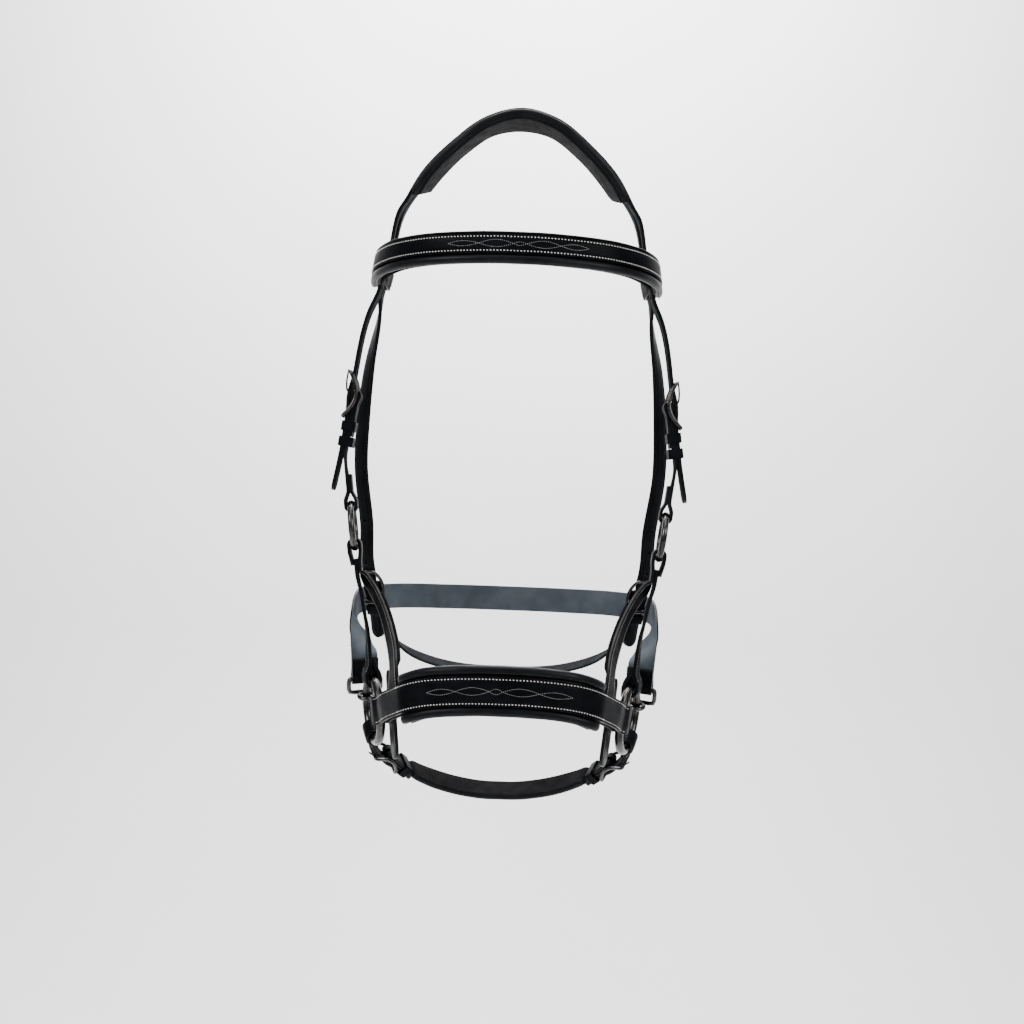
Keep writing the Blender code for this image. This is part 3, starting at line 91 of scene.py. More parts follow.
def squared(up: Sequence[float], out: Sequence[float]) -> tuple[Vec, Vec]:
    """Two directions made square to each other, the first kept."""
    up, out = unit(up), np.array(out, float)
    return up, unit(out - (out @ up) * up)


def straight(start: Vec, end: Vec) -> list[Vec]:
    """Points that keep a curve straight from start to end."""
    return [start + (end - start) * share for share in LINE_SHARES]


def between(start: Sequence[float], end: Sequence[float], shares: Iterable[Sequence[float]]) -> list[Vec]:
    """Points at the given shares of the way from start to end, axis by axis."""
    start, end = np.array(start), np.array(end)
    return [start + (end - start) * np.array(share) for share in shares]


def eased(s: float, centre: float, near: float, far: float, spread: float, hold: float = 0.0) -> float:
    """near at centre and hold from it, turning smoothly to far over a further spread."""
    share = min(max(abs(s - centre) - hold, 0) / spread, 1)
    return far + (near - far) * (1 + math.cos(math.pi * share)) / 2


def smooth(points: Sequence[Vec], faces: Sequence, start_along: Sequence[float] | None = None) -> Run:
    """A closely spaced curve through the points.

    Args:
        points: Where the curve goes.
        faces: The way it faces at each of them.
        start_along: Its direction at the start, where that is known.

    Returns:
        The curve's points, and its facing at each.
    """
    points, faces = np.array(points, float), unit(faces)
    steps = np.linalg.norm(np.diff(points, axis=0), axis=1)
    both = np.hstack([points, faces])
    slopes = np.diff(both, axis=0) / steps[:, None]
    tangents = np.empty_like(both)
    tangents[0], tangents[-1] = slopes[0], slopes[-1]
    weights = steps[:, None]
    tangents[1:-1] = (slopes[1:] * weights[:-1] + slopes[:-1] * weights[1:]) / (weights[1:] + weights[:-1])
    if start_along is not None:
        tangents[0, :3] = start_along
        tangents[0, 3:] = 0
    line = []
    for k, step in enumerate(steps):
        count = max(2, math.ceil(step / Path.DENSE))
        for t in np.arange(count) / count:
            a, b = both[k], both[k + 1]
            p, q = tangents[k] * step, tangents[k + 1] * step
            line.append(
                (2 * t**3 - 3 * t**2 + 1) * a + (t**3 - 2 * t**2 + t) * p + (3 * t**2 - 2 * t**3) * b + (t**3 - t**2) * q
            )
    line.append(both[-1])
    line = np.array(line)
    return list(line[:, :3]), list(unit(line[:, 3:]))


class Path:
    """The middle of a strap: points close together, and the way its outer face looks at each."""

    DENSE = 1.0 * MM
    TURN = math.radians(5)
    REACH = 4 * MM
    CLOSEST = 0.25 * MM

    def __init__(self, points: Sequence[Vec], faces: Sequence[Vec]) -> None:
        """Measures the line and squares its facing to it."""
        points, faces = np.array(points, float), unit(faces)
        keep = np.concatenate([[True], np.linalg.norm(np.diff(points, axis=0), axis=1) > 1e-6])
        self.points, faces = points[keep], faces[keep]
        steps = np.linalg.norm(np.diff(self.points, axis=0), axis=1)
        self.s = np.concatenate([[0], np.cumsum(steps)])
        self.length = float(self.s[-1])
        self.along = unit(np.gradient(self.points, self.s, axis=0))
        self.faces = unit(faces - (faces * self.along).sum(1)[:, None] * self.along)

    def at(self, s: float) -> tuple[Vec, Vec, Vec, Vec]:
        """The point at s, and its along, across and outward directions."""
        point, along, face = (
            np.array([np.interp(s, self.s, table[:, k]) for k in range(3)])
            for table in (self.points, self.along, self.faces)
        )
        along = unit(along)
        face = unit(face - (face @ along) * along)
        return point, along, np.cross(along, face), face

    def marks(self, start: float = 0.0, end: float | None = None, extra: Iterable[float] = ()) -> list[float]:
        """Where cross-sections go between start and end: closer together where the strap turns."""
        end = self.length if end is None else end
        fixed = sorted({start, end, *[s for s in extra if start < s < end]})
        marks, turned, last = [], 0.0, start
        for k in range(1, len(self.s)):
            if not start < self.s[k] < end:
                continue
            turned += math.acos(min(1, self.along[k] @ self.along[k - 1]))
            turned += math.acos(min(1, self.faces[k] @ self.faces[k - 1])) / 2
            if turned >= self.TURN or self.s[k] - last >= self.REACH:
                marks.append(float(self.s[k]))
                turned, last = 0.0, self.s[k]
        marks = [m for m in marks if all(abs(m - f) > self.CLOSEST for f in fixed)]
        return sorted(fixed + marks)

    def nearest(self, point: Vec) -> float:
        """How far along the path it comes nearest to the point."""
        return float(self.s[np.linalg.norm(self.points - point, axis=1).argmin()])

    def beside(self, start: float, end: float, out: float, aside: float = 0.0) -> Path:
        """The stretch from start to end, moved out of its face and across it."""
        places = [self.at(s) for s in np.linspace(start, end, math.ceil((end - start) / self.DENSE))]
        points = [point + face * out + across * aside for point, _, across, face in places]
        return Path(points, [place[3] for place in places])

    def doubled(self) -> Path:
        """The path over both sides of the head, from the half that starts in the middle."""
        flip = np.array([-1, 1, 1])
        return Path([*(self.points[:0:-1] * flip), *self.points], [*(self.faces[:0:-1] * flip), *self.faces])

    def run(self, start: float, end: float, offset: Depth) -> Run:
        """Points of one ply of a folded strap, moved out by offset(s)."""
        count = max(2, math.ceil(abs(end - start) / self.DENSE) + 1)
        points, faces = [], []
        for s in np.linspace(start, end, count):
            point, _, _, face = self.at(s)
            shift = offset(s)
            points.append(point + face * shift)
            faces.append(face if shift >= 0 else -face)
        return points, faces


def bend(centre: Vec, leg: Vec, out: Vec, radius: float) -> Run:
    """A half turn round a wire, from its outer side, away from the leg, to its inner side."""
    angles = np.linspace(0, math.pi, 25)[1:-1]
    ways = [out * math.cos(a) - leg * math.sin(a) for a in angles]
    return [centre + radius * way for way in ways], ways


def join(*pieces: Run) -> Path:
    """One path from several runs and bends."""
    return Path([p for piece in pieces for p in piece[0]], [f for piece in pieces for f in piece[1]])


def backwards(piece: Run) -> Run:
    """A run or bend in the other direction."""
    return piece[0][::-1], piece[1][::-1]


# Solids


@dataclass
class Shape:
    """Points and faces, with the number of the finish that each face has."""

    points: list = field(default_factory=list)
    faces: list = field(default_factory=list)
    finishes: list = field(default_factory=list)

    def take(self, other: Shape) -> Shape:
        """Adds another shape's faces to this one's."""
        start = len(self.points)
        self.points += list(other.points)
        self.faces += [[i + start for i in face] for face in other.faces]
        self.finishes += list(other.finishes)
        return self

    def on(self, side: Side) -> Shape:
        """The shape on the given side, from the left one."""
        return Shape([p * side.flip for p in self.points], self.faces, self.finishes)


def tube(points: Sequence[Vec], reference: Vec, radius: float, sides: int, closed: bool = False) -> Shape:
    """A round bar along the points; reference is a direction that it never runs along."""
    points = np.array(points)
    ahead, behind = np.roll(points, -1, axis=0), np.roll(points, 1, axis=0)
    if not closed:
        ahead[-1], behind[0] = points[-1], points[0]
    along = unit(ahead - behind)
    first = unit(np.cross(along, reference))
    second = np.cross(first, along)
    outlines = []
    for p, a, b in zip(points, first, second):
        angles = [2 * math.pi * (k + 0.5) / sides for k in range(sides)]
        outlines.append([p + radius * (a * math.cos(w) + b * math.sin(w)) for w in angles])
    return loft(outlines, closed)


def loft(outlines: Sequence[Sequence[Vec]], closed: bool = False) -> Shape:
    """A skin over closed outlines of one count of points, capped unless it closes on itself."""
    sides, count = len(outlines[0]), len(outlines)
    faces = []
    for i in range(count if closed else count - 1):
        a, b = i * sides, (i + 1) % count * sides
        faces += [[a + k, a + (k + 1) % sides, b + (k + 1) % sides, b + k] for k in range(sides)]
    if not closed:
        faces += [list(range(sides))[::-1], [(count - 1) * sides + k for k in range(sides)]]
    return Shape([p for outline in outlines for p in outline], faces, [0] * len(faces))


@dataclass
class Strap:
    """One hide cut to a strap: a grain side, a flesh side, rounded edges, stitch grooves and holes."""

    path: Path
    width: float
    thickness: float
    inset: float = 1.8 * MM
    groove: float = 0.22 * MM
    crown: float = 0.12 * MM
    round: float = 0.55 * MM
    start_tip: float = 0.0
    end_tip: float = 0.0
    hole_width: float = 0.0
    holes: tuple = ()
    start: float = 0.0
    end: float | None = None
    rubbed: float = 0.0

    GRAIN, FLESH, EDGE, RUBBED = 0, 1, 2, 3

    def columns(self) -> list[tuple[float, float, float]]:
        """The cross-section's columns, each across, outer and inner."""
        half, thick, r = self.width / 2, self.thickness / 2, self.round
        row = half - self.inset
        outer = [(half, -r), (half - 0.3 * r, -0.3 * r), (half - r, 0)]
        if self.inset:
            outer += [(row + 0.5 * MM, 0), (row, -self.groove), (row - 0.5 * MM, 0)]
        outer += [(row * 0.45, self.crown)]
        if self.hole_width:
            outer.append((self.hole_width / 2, self.crown))
        right = [(a, thick + d, -thick - (d if a > half - r * 1.01 else 0)) for a, d in outer]
        return [(-a, out, back) for a, out, back in right] + right[::-1]

    def surface(self, aside: float) -> float:
        """How far the grain side lies out of the middle at a place across."""
        asides, outers, _ = zip(*sorted(self.columns()))
        return float(np.interp(aside, asides, outers))

    def narrowing(self, s: float) -> float:
        """The share of its width that a rounded tip leaves at s."""
        share, end = 1.0, self.path.length if self.end is None else self.end
        if self.end_tip and s > end - self.end_tip:
            share *= math.sqrt(max(1 - ((s - end + self.end_tip) / self.end_tip) ** 2, 0.02))
        if self.start_tip and s < self.start_tip:
            share *= math.sqrt(max(1 - ((self.start_tip - s) / self.start_tip) ** 2, 0.02))
        return share

    def stations(self) -> list[float]:
        """Where the strap has its cross-sections."""
        end = self.path.length if self.end is None else self.end
        shares = (0, 0.35, 0.6, 0.78, 0.9, 0.97)
        extra = [edge for hole in self.holes for edge in hole]
        extra += [end - self.end_tip * (1 - share) for share in shares if self.end_tip]
        extra += [self.start_tip * (1 - share) for share in shares if self.start_tip]
        return self.path.marks(self.start, end, extra)

    def grid(self, stations: Sequence[float], columns: Sequence) -> list[list[tuple[Vec, Vec]]]:
        """The two skins' points, section by section."""
        rows = []
        for s in stations:
            point, _, across, face = self.path.at(s)
            share = self.narrowing(s)
            rows.append([(point + across * a * share + face * out, point + across * a * share + face * back)
                         for a, out, back in columns])
        return rows

    def shape(self) -> Shape:
        """The strap as a closed solid."""
        stations, columns = self.stations(), self.columns()
        sheet = Sheet()
        sheet.band("strap", self.grid(stations, columns))
        middle = len(columns) // 2 - 1
        for i, j in sheet.cells("strap"):
            at = (stations[i] + stations[i + 1]) / 2
            if not (j == middle and any(low < at < high for low, high in self.holes)):
                inner = min(at, self.path.length - at) < self.rubbed
                sheet.face("strap", i, j, self.RUBBED if inner else self.GRAIN)
        return sheet.shape()

    def stitches(self, row: StitchRow, aside: float, start: float, end: float) -> Shape:
        """A straight row of stitches at a place across."""
        return row.lay(self.path, lambda s: aside, lambda s: self.surface(aside), start, end)


class Sheet:
    """A grid of points with an outer and an inner skin, closed round every edge and hole."""

    def __init__(self) -> None:
        """Starts with no points."""
        self.skins: dict = {}
        self.bands: dict = {}
        self.quads: list = []
        self.finishes: list = []

    def band(self, tag: str, rows: Sequence, first: Sequence | None = None) -> None:
        """Takes in a band's points; first names columns that another band has made."""
        keys = []
        for i, row in enumerate(rows):
            keys.append([first[j] if first and i == 0 else (tag, i, j) for j in range(len(row))])
            for j, pair in enumerate(row):
                if not (first and i == 0):
                    self.skins[(tag, i, j)] = pair
        self.bands[tag] = keys

    def cells(self, tag: str) -> list[tuple[int, int]]:
        """The grid places of a band."""
        keys = self.bands[tag]
        return [(i, j) for i in range(len(keys) - 1) for j in range(len(keys[0]) - 1)]

    def face(self, tag: str, i: int, j: int, finish: int = 0) -> None:
        """Fills one grid place, whose outer side has the finish of that number."""
        a, b = self.bands[tag][i], self.bands[tag][i + 1]
        self.quads.append((a[j], a[j + 1], b[j + 1], b[j]))
        self.finishes.append(finish)

    def shape(self) -> Shape:
        """The closed solid: grain side, flesh side and edges."""
        number = {key: i for i, key in enumerate(self.skins)}
        count = len(number)
        shape = Shape([pair[0] for pair in self.skins.values()] + [pair[1] for pair in self.skins.values()])
        edges: dict = {}
        for quad, finish in zip(self.quads, self.finishes):
            top = [number[key] for key in quad]
            shape.faces += [top, [i + count for i in top[::-1]]]
            shape.finishes += [finish, Strap.FLESH]
            for a, b in zip(top, top[1:] + top[:1]):
                edge = (min(a, b), max(a, b))
                edges[edge] = edges.get(edge, 0) + 1
        for (a, b), uses in edges.items():
            if uses == 1:
                shape.faces.append([b, a, a + count, b + count])
                shape.finishes.append(Strap.EDGE)
        used = sorted({i for face in shape.faces for i in face})
        place = {old: new for new, old in enumerate(used)}
        return Shape([shape.points[i] for i in used], [[place[i] for i in face] for face in shape.faces],
                     shape.finishes)


@dataclass(frozen=True)
class StitchRow:
    """How one row of thread is sewn."""

    pitch: float
    length: float
    gauge: float
    slant: float = 0.1 * MM

    def lay(self, path: Path, aside: Depth, depth: Depth, start: float, end: float) -> Shape:
        """Lays the stitches along a path.

        Args:
            path: The strap's middle.
            aside: How far the row lies across it at s.
            depth: How far the leather's surface lies out of it there.
            start: Where the row starts.
            end: Where it ends.

        Returns:
            All the stitches, as closed solids.
        """
        shape = Shape()
        count = max(1, round((end - start) / self.pitch))
        step = (end - start) / count
        half = min(self.length, step * 0.94) / 2
        for k in range(count):
            middle = start + (k + 0.5) * step
            outlines = []
            for share, full, rise in ((-1, 0.35, -0.5), (-0.72, 0.85, 0.05), (0, 1, 0.35), (0.72, 0.85, 0.05),
                                      (1, 0.35, -0.5)):
                s = min(max(middle + half * share, 0), path.length)
                point, along, across, face = path.at(s)
                lean = self.slant * share
                centre = point + across * (aside(s) + lean) + face * (depth(s) + self.gauge * rise)
                ring = [(math.cos(w), math.sin(w)) for w in np.linspace(0, 2 * math.pi, 6, endpoint=False)]
                outlines.append([centre + self.gauge * full * (across * a + face * b) for a, b in ring])
            shape.take(loft(outlines))
        return shape


MAIN_ROW = StitchRow(pitch=2.5 * MM, length=1.2 * MM, gauge=0.42 * MM)
FOLD_ROW = StitchRow(pitch=4.2 * MM, length=2.8 * MM, gauge=0.24 * MM)
FINE_ROW = StitchRow(pitch=2.2 * MM, length=1.3 * MM, gauge=0.24 * MM)
FANCY_ROW = StitchRow(pitch=1.5 * MM, length=0.95 * MM, gauge=0.19 * MM)
TACK = StitchRow(pitch=2.6 * MM, length=2.3 * MM, gauge=0.5 * MM)


@dataclass(frozen=True)
class Padding:
    """A padded body behind a strap, swelling into a bead beyond each of its edges."""

    path: Path
    strap: float
    high: float
    low: float
    top: float
    thickness: float
    start: float
    end: float
    proud: float = 2.4 * MM

    def outline(self, fullness: float, swell: float) -> list[tuple[float, float]]:
        """The cross-section, as places across and depths, wound one way."""
        half, back = self.strap / 2 + SEAT, self.top - self.thickness
        points = [(-half + 0.8 * MM, self.top), (0, self.top), (half - 0.8 * MM, self.top)]
        beads = []
        for edge in (self.high, self.low):
            radius = (edge - half) / 2
            tall = (self.proud + self.thickness * 0.62) / 2
            centre = self.top + self.proud - tall
            angles = [math.radians(a) for a in range(165, -91, -17)]
            beads.append([(half + radius + radius * math.cos(a) * swell, centre + tall * math.sin(a) * swell)
                          for a in angles])
        right = beads[0] + [((self.high + half) / 2, back + 0.5 * MM)]
        left = [(-a, d) for a, d in beads[1] + [((self.low + half) / 2, back + 0.5 * MM)]]
        ring = points + right + [(0, back)] + left[::-1]
        middle = sum(d for _, d in ring) / len(ring)
        return [(a * (0.9 + 0.1 * fullness), middle + (d - middle) * fullness) for a, d in ring]

    def shape(self) -> Shape:
        """The padded body, rounded off at both ends and softly uneven along its length."""
        stations = self.path.marks(self.start, self.end)
        outlines = []
        for s in stations:
            near = min(s - self.start, self.end - s)
            fullness = 0.25 + 0.75 * math.sqrt(1 - (1 - min(near / (5 * MM), 1)) ** 2)
            swell = 1 + 0.02 * math.sin(s / (9 * MM)) + 0.015 * math.sin(s / (4.3 * MM) + 1)
            point, _, across, face = self.path.at(s)
            outlines.append([point + across * a + face * d for a, d in self.outline(fullness, swell)])
        shape = loft(outlines)
        depths = [d for _, d in self.outline(1, 1)]
        behind = [d < self.top - self.thickness + MM for d in depths]
        for k in range(len(shape.faces) - 2):
            place = k % len(depths)
            shape.finishes[k] = int(behind[place] and behind[(place + 1) % len(depths)])
        return shape


# Steel


@dataclass(frozen=True)
class Ring:
    """A round ring: its middle, its way to the front and up in its own plane, and its sizes."""

    centre: tuple
    yaw: float
    lean: float
    diameter: float
    thickness: float

    @property
    def wire(self) -> float:
        """The wire's own radius."""
        return self.thickness / 2

    @property
    def radius(self) -> float:
        """From the ring's middle to its wire's."""
        return (self.diameter - self.thickness) / 2

    @cached_property
    def front(self) -> Vec:
        """The way to the horse's front in the ring's plane."""
        yaw = math.radians(self.yaw)
        return np.array([-math.sin(yaw), -math.cos(yaw), 0])

    @cached_property
    def up(self) -> Vec:
        """The way up in the ring's plane."""
        yaw, lean = math.radians(self.yaw), math.radians(self.lean)
        side = np.array([math.cos(yaw), -math.sin(yaw), 0])
        return np.array([0, 0, 1]) * math.cos(lean) + side * math.sin(lean)

    @property
    def axis(self) -> Vec:
        """The way out of the ring's plane, away from the head."""
        return np.cross(self.up, self.front)

    def way(self, degrees: float) -> Vec:
        """The direction from the middle at an angle that starts at the front and rises."""
        angle = math.radians(degrees)
        return self.front * math.cos(angle) + self.up * math.sin(angle)

    def inside(self, width: float) -> float:
        """How far out a strap of this width gets inside the ring."""
        return math.sqrt((self.radius - self.wire) ** 2 - (width / 2 + SEAT) ** 2)

    def fold(self, degrees: float, width: float) -> Vec:
        """Where a strap's fold turns, so that its edges clear the ring's curve."""
        return np.array(self.centre) + self.way(degrees) * (self.inside(width) + self.wire)

    def hold(self, width: float) -> float:
        """How far past its turn a fold goes on clearing the wire."""
        return self.radius - self.inside(width) - self.wire / 2

    def shape(self) -> Shape:
        """The ring, finely turned."""
        points = [np.array(self.centre) + self.way(360 * k / 96) * self.radius for k in range(96)]
        return tube(points, self.axis, self.wire, 24, closed=True)


@dataclass(frozen=True)
class Buckle:
    """A whole buckle at the end of one strap, with the billet of another through it.

    Heights are counted along the strap from the middle bar, up towards the billet, and depths out
    of the strap's face.
    """

    bar: tuple
    up: tuple
    out: tuple
    width: float
    ply: float
    billet: float
    length: float
    rim: float
    pin: float

    @cached_property
    def axes(self) -> tuple[Vec, Vec, Vec]:
        """The ways up, out and across."""
        up, out = squared(self.up, self.out)
        return up, out, np.cross(up, out)

    @property
    def half(self) -> float:
        """Height of the end bars."""
        return self.length / 2 - self.rim

    @property
    def side(self) -> float:
        """Distance of the side bars from the middle."""
        return self.width / 2 + 2 * SLACK + self.rim

    @property
    def lap(self) -> float:
        """Depth of each ply of the folded strap."""
        return (self.ply + SEAT) / 2

    @property
    def fold(self) -> float:
        """Radius of the fold round the middle bar."""
        return self.pin + SLACK + self.ply / 2

    @property
    def under(self) -> float:
        """Depth of the billet where it passes under the end bars."""
        return self.lap + self.ply / 2 + SEAT + self.billet / 2

    @property
    def over(self) -> float:
        """Depth of the billet over the middle bar."""
        return self.fold + self.ply / 2 + SEAT + self.billet / 2

    @property
    def crest(self) -> float:
        """Depth of the end bars."""
        return self.under + self.billet / 2 + SEAT + self.rim

    @property
    def hole_width(self) -> float:
        """How wide the hole for the tongue is."""
        return self.pin * 2 + 2 * SLACK

    @property
    def keeper_height(self) -> float:
        """Where the fixed keeper sits."""
        return -self.half - self.rim - Keeper.LENGTH * 0.75

    def place(self, height: float, depth: float, aside: float = 0.0) -> Vec:
        """A point of the buckle's own frame."""
        up, out, across = self.axes
        return np.array(self.bar) + up * height + out * depth + across * aside

    def hole_span(self, path: Path) -> tuple[float, float]:
        """The stretch of a billet that its hole takes, where the tongue goes through."""
        top = path.nearest(self.place(self.crest * 0.9, self.under))
        return top, path.nearest(self.place(-self.pin * 2, self.over))

    def slot_span(self, path: Path) -> tuple[float, float]:
        """The stretch of the folded strap that is slotted for the tongue."""
        low = path.nearest(self.place(-3 * self.fold, -self.lap))
        return low, path.nearest(self.place(-2 * self.fold, self.lap))

    def billet_points(self, above: float, below: float) -> list[Vec]:
        """The billet's middle through the buckle, from above it down to below."""
        upper = straight(self.place(above, self.under), self.place(self.half, self.under))
        lower = straight(self.place(-below, self.under), self.place(-self.half, self.under))
        return [*upper, self.place(0, self.over), *lower[::-1]]

    def frame(self) -> Shape:
        """The bowed rim, whose ends stand out, and the middle bar."""
        corner = self.rim * 1.6
        turns = [math.radians(a) for a in range(0, 91, 15)]
        quarter = [(self.half - corner + corner * math.cos(a), self.side - corner + corner * math.sin(a))
                   for a in turns]
        quarter += [((self.half - corner) * share, self.side) for share in (0.8, 0.6, 0.4, 0.2)]
        points = quarter + [(0, self.side)] + [(-h, w) for h, w in quarter[::-1]]
        points += [(-h, -w) for h, w in points]
        _, out, across = self.axes
        rim = tube([self.place(h, self.crest * (h / self.half) ** 2, w) for h, w in points],
                   out + across * 1e-3, self.rim, 14, closed=True)
        return rim.take(tube([self.place(0, 0, self.side * share) for share in (-1, 1)], out, self.pin, 12))

    def tongue(self) -> Shape:
        """The tongue: an eye round the middle bar, then a shank through the billet to the top bar."""
        up, out, across = self.axes
        thick = self.pin * 1.1
        radius = self.pin + SLACK / 2 + thick / 2
        eye = [math.radians(a) for a in range(-80, -251, -10)]
        points = [self.place(radius * math.cos(a), radius * math.sin(a)) for a in eye]
        faces = [up * math.cos(a) + out * math.sin(a) for a in eye]
        rest = self.crest + self.rim + SEAT + thick / 2
        rise = [
            (self.pin * 0.7, self.over - self.billet / 2 - thick / 4),
            (self.pin * 2, (self.over + rest) / 2),
            (self.half * 0.45, rest - thick / 4),
            (self.half, rest),
            (self.half + self.rim * 1.3, rest),
        ]
        tilt = [out - up, out * 0.3 - up, out - up * 0.5, out, out]
        line = smooth([points[-1], *[self.place(*pair) for pair in rise]], [faces[-1], *tilt])
        path = join((points, faces), (line[0][1:], line[1][1:]))
        outlines = []
        for s in path.marks():
            point, _, across, face = path.at(s)
            slim = 1 - 0.25 * max(0, s / path.length - 0.6)
            ring = [(math.cos(a), math.sin(a)) for a in np.linspace(0, 2 * math.pi, 12, endpoint=False)]
            outlines.append([point + across * self.pin * slim * math.copysign(abs(c) ** 0.7, c)
                             + face * thick / 2 * slim * math.copysign(abs(d) ** 0.7, d) for c, d in ring])
        return loft(outlines)


@dataclass(frozen=True)
class Keeper:
    """A loop of leather round strap and billet."""

    buckle: Buckle
    height: float
    loose: float = 0.0

    LEATHER = 1.6 * MM
    LENGTH = 8 * MM

    def shape(self) -> Shape:
        """The loop, with rounded corners and edges."""
        buckle = self.buckle
        low, high = -buckle.lap - buckle.ply / 2, buckle.under + buckle.billet / 2
        up, out, across = buckle.axes
        middle = buckle.place(self.height, (high + low) / 2)
        gap = SEAT + self.loose
        tall, wide = (high - low) / 2 + gap, buckle.width / 2 + gap
        half, leather = self.LENGTH / 2, self.LEATHER
        section = [(-half, 0.25), (-half, 0.75), (-half * 0.93, 0.93), (-half * 0.8, 1), (-half * 0.62, 0.9),
                   (0, 1), (half * 0.62, 0.9), (half * 0.8, 1), (half * 0.93, 0.93), (half, 0.75), (half, 0.25),
                   (half * 0.93, 0), (-half * 0.93, 0)]
        outlines = []
        for ch, cw in ((1, 1), (-1, 1), (-1, -1), (1, -1)):
            turn = [math.radians(a) for a in ((0, 30, 60, 90) if ch * cw > 0 else (90, 60, 30, 0))]
            for a in turn:
                corner = 0.35 * leather
                ring = []
                for along, share in section:
                    reach = corner + (leather * 0.98 - corner) * share
                    depth = ch * (tall - corner * 0.2 + reach * math.cos(a))
                    aside = cw * (wide - corner * 0.2 + reach * math.sin(a))
                    ring.append(middle + up * along + out * depth + across * aside)
                outlines.append(ring)
        return loft(outlines, closed=True)


# Finishes


class Graph:
    """A material's nodes, made and joined."""

    def __init__(self, name: str) -> None:
        """A new material with its Principled shader."""
        self.material = bpy.data.materials.new(name)
        self.material.use_nodes = True
        self.tree = self.material.node_tree
        self.shader = self.tree.nodes["Principled BSDF"]
        self.place = self.node("ShaderNodeTexCoord").outputs["Object"]

    def node(self, kind: str, **values: float | str | tuple) -> bpy.types.Node:
        """A node, with the given properties or input values."""
        node = self.tree.nodes.new(kind)
        for key, value in values.items():
            if key in node.inputs:
                node.inputs[key].default_value = value
            else:
                setattr(node, key, value)
        return node

    def join(self, output: bpy.types.NodeSocket, socket: bpy.types.NodeSocket) -> None:
        """Links an output to an input."""
        self.tree.links.new(output, socket)

    def texture(self, kind: str, scale: float, stretch: tuple = (1, 1, 1), **values: float | str) -> bpy.types.Node:
        """A texture in the object's own metres, at so many cells each."""
        mapping = self.node("ShaderNodeMapping")
        mapping.inputs["Scale"].default_value = stretch
        self.join(self.place, mapping.inputs["Vector"])
        texture = self.node(kind, Scale=scale, **values)
        self.join(mapping.outputs["Vector"], texture.inputs["Vector"])
        return texture

    def shades(self, output: bpy.types.NodeSocket, low: tuple, high: tuple, spread: tuple = (0.35, 0.65)) -> None:
        """Colours the shader between two shades."""
        ramp = self.node("ShaderNodeValToRGB")
        for element, place, colour in zip(ramp.color_ramp.elements, spread, (low, high)):
            element.position, element.color = place, (*colour, 1)
        self.join(output, ramp.inputs["Fac"])
        self.join(ramp.outputs["Color"], self.shader.inputs["Base Color"])

    def roughen(self, output: bpy.types.NodeSocket, low: float, high: float) -> None:
        """Spreads the roughness over a texture."""
        spread = self.node("ShaderNodeMapRange")
        spread.inputs["From Min"].default_value = 0.3
        spread.inputs["From Max"].default_value = 0.7
        spread.inputs["To Min"].default_value = low
        spread.inputs["To Max"].default_value = high
        self.join(output, spread.inputs["Value"])
        self.join(spread.outputs["Result"], self.shader.inputs["Roughness"])

    def bump(self, output: bpy.types.NodeSocket, depth: float, strength: float) -> None:
        """Raises the surface by a texture, on top of what is there."""
        bump = self.node("ShaderNodeBump", Strength=strength, Distance=depth)
        self.join(output, bump.inputs["Height"])
        normal = self.shader.inputs["Normal"]
        if normal.is_linked:
            self.join(normal.links[0].from_socket, bump.inputs["Normal"])
        self.join(bump.outputs["Normal"], normal)


@dataclass(frozen=True)
class LeatherFinish:
    """Dyed leather: its two shades, its shine and its grain."""

    name: str
    dark: tuple
    light: tuple
    smooth: float
    rough: float
    cells: float
    depth: float
    coat: float = 0.0
    gleam: float = 0.12

    def material(self) -> bpy.types.Material:
        """Pores, a soft unevenness and a shine that varies as hand-finished leather's does."""
        graph = Graph(self.name)
        cloud = graph.texture("ShaderNodeTexNoise", 45, Detail=5)
        graph.shades(cloud.outputs["Fac"], self.dark, self.light)
        wear = graph.texture("ShaderNodeTexNoise", 120, Detail=4)
        graph.roughen(wear.outputs["Fac"], self.smooth, self.rough)
        pores = graph.texture("ShaderNodeTexVoronoi", self.cells, feature="DISTANCE_TO_EDGE")
        graph.bump(pores.outputs["Distance"], self.depth, 0.5)
        fibre = graph.texture("ShaderNodeTexNoise", self.cells * 1.8, Detail=3)
        graph.bump(fibre.outputs["Fac"], self.depth * 0.6, 0.4)
        swell = graph.texture("ShaderNodeTexNoise", 70, Detail=2)
        graph.bump(swell.outputs["Fac"], self.depth * 5, 0.25)
        graph.shader.inputs["Specular IOR Level"].default_value = self.gleam
        graph.shader.inputs["Coat Weight"].default_value = self.coat
        graph.shader.inputs["Coat Roughness"].default_value = 0.3
        return graph.material


@dataclass(frozen=True)
class ThreadFinish:
    """Waxed linen thread."""

    name: str
    dark: tuple
    light: tuple

    def material(self) -> bpy.types.Material:
        """Twisted plies with a waxy shine."""
        graph = Graph(self.name)
        cloud = graph.texture("ShaderNodeTexNoise", 900, Detail=2)
        graph.shades(cloud.outputs["Fac"], self.dark, self.light)
        plies = graph.texture("ShaderNodeTexNoise", 2600, (1, 1, 1.6), Detail=1)
        graph.bump(plies.outputs["Fac"], 0.08 * MM, 0.6)
        graph.roughen(plies.outputs["Fac"], 0.45, 0.7)
        return graph.material


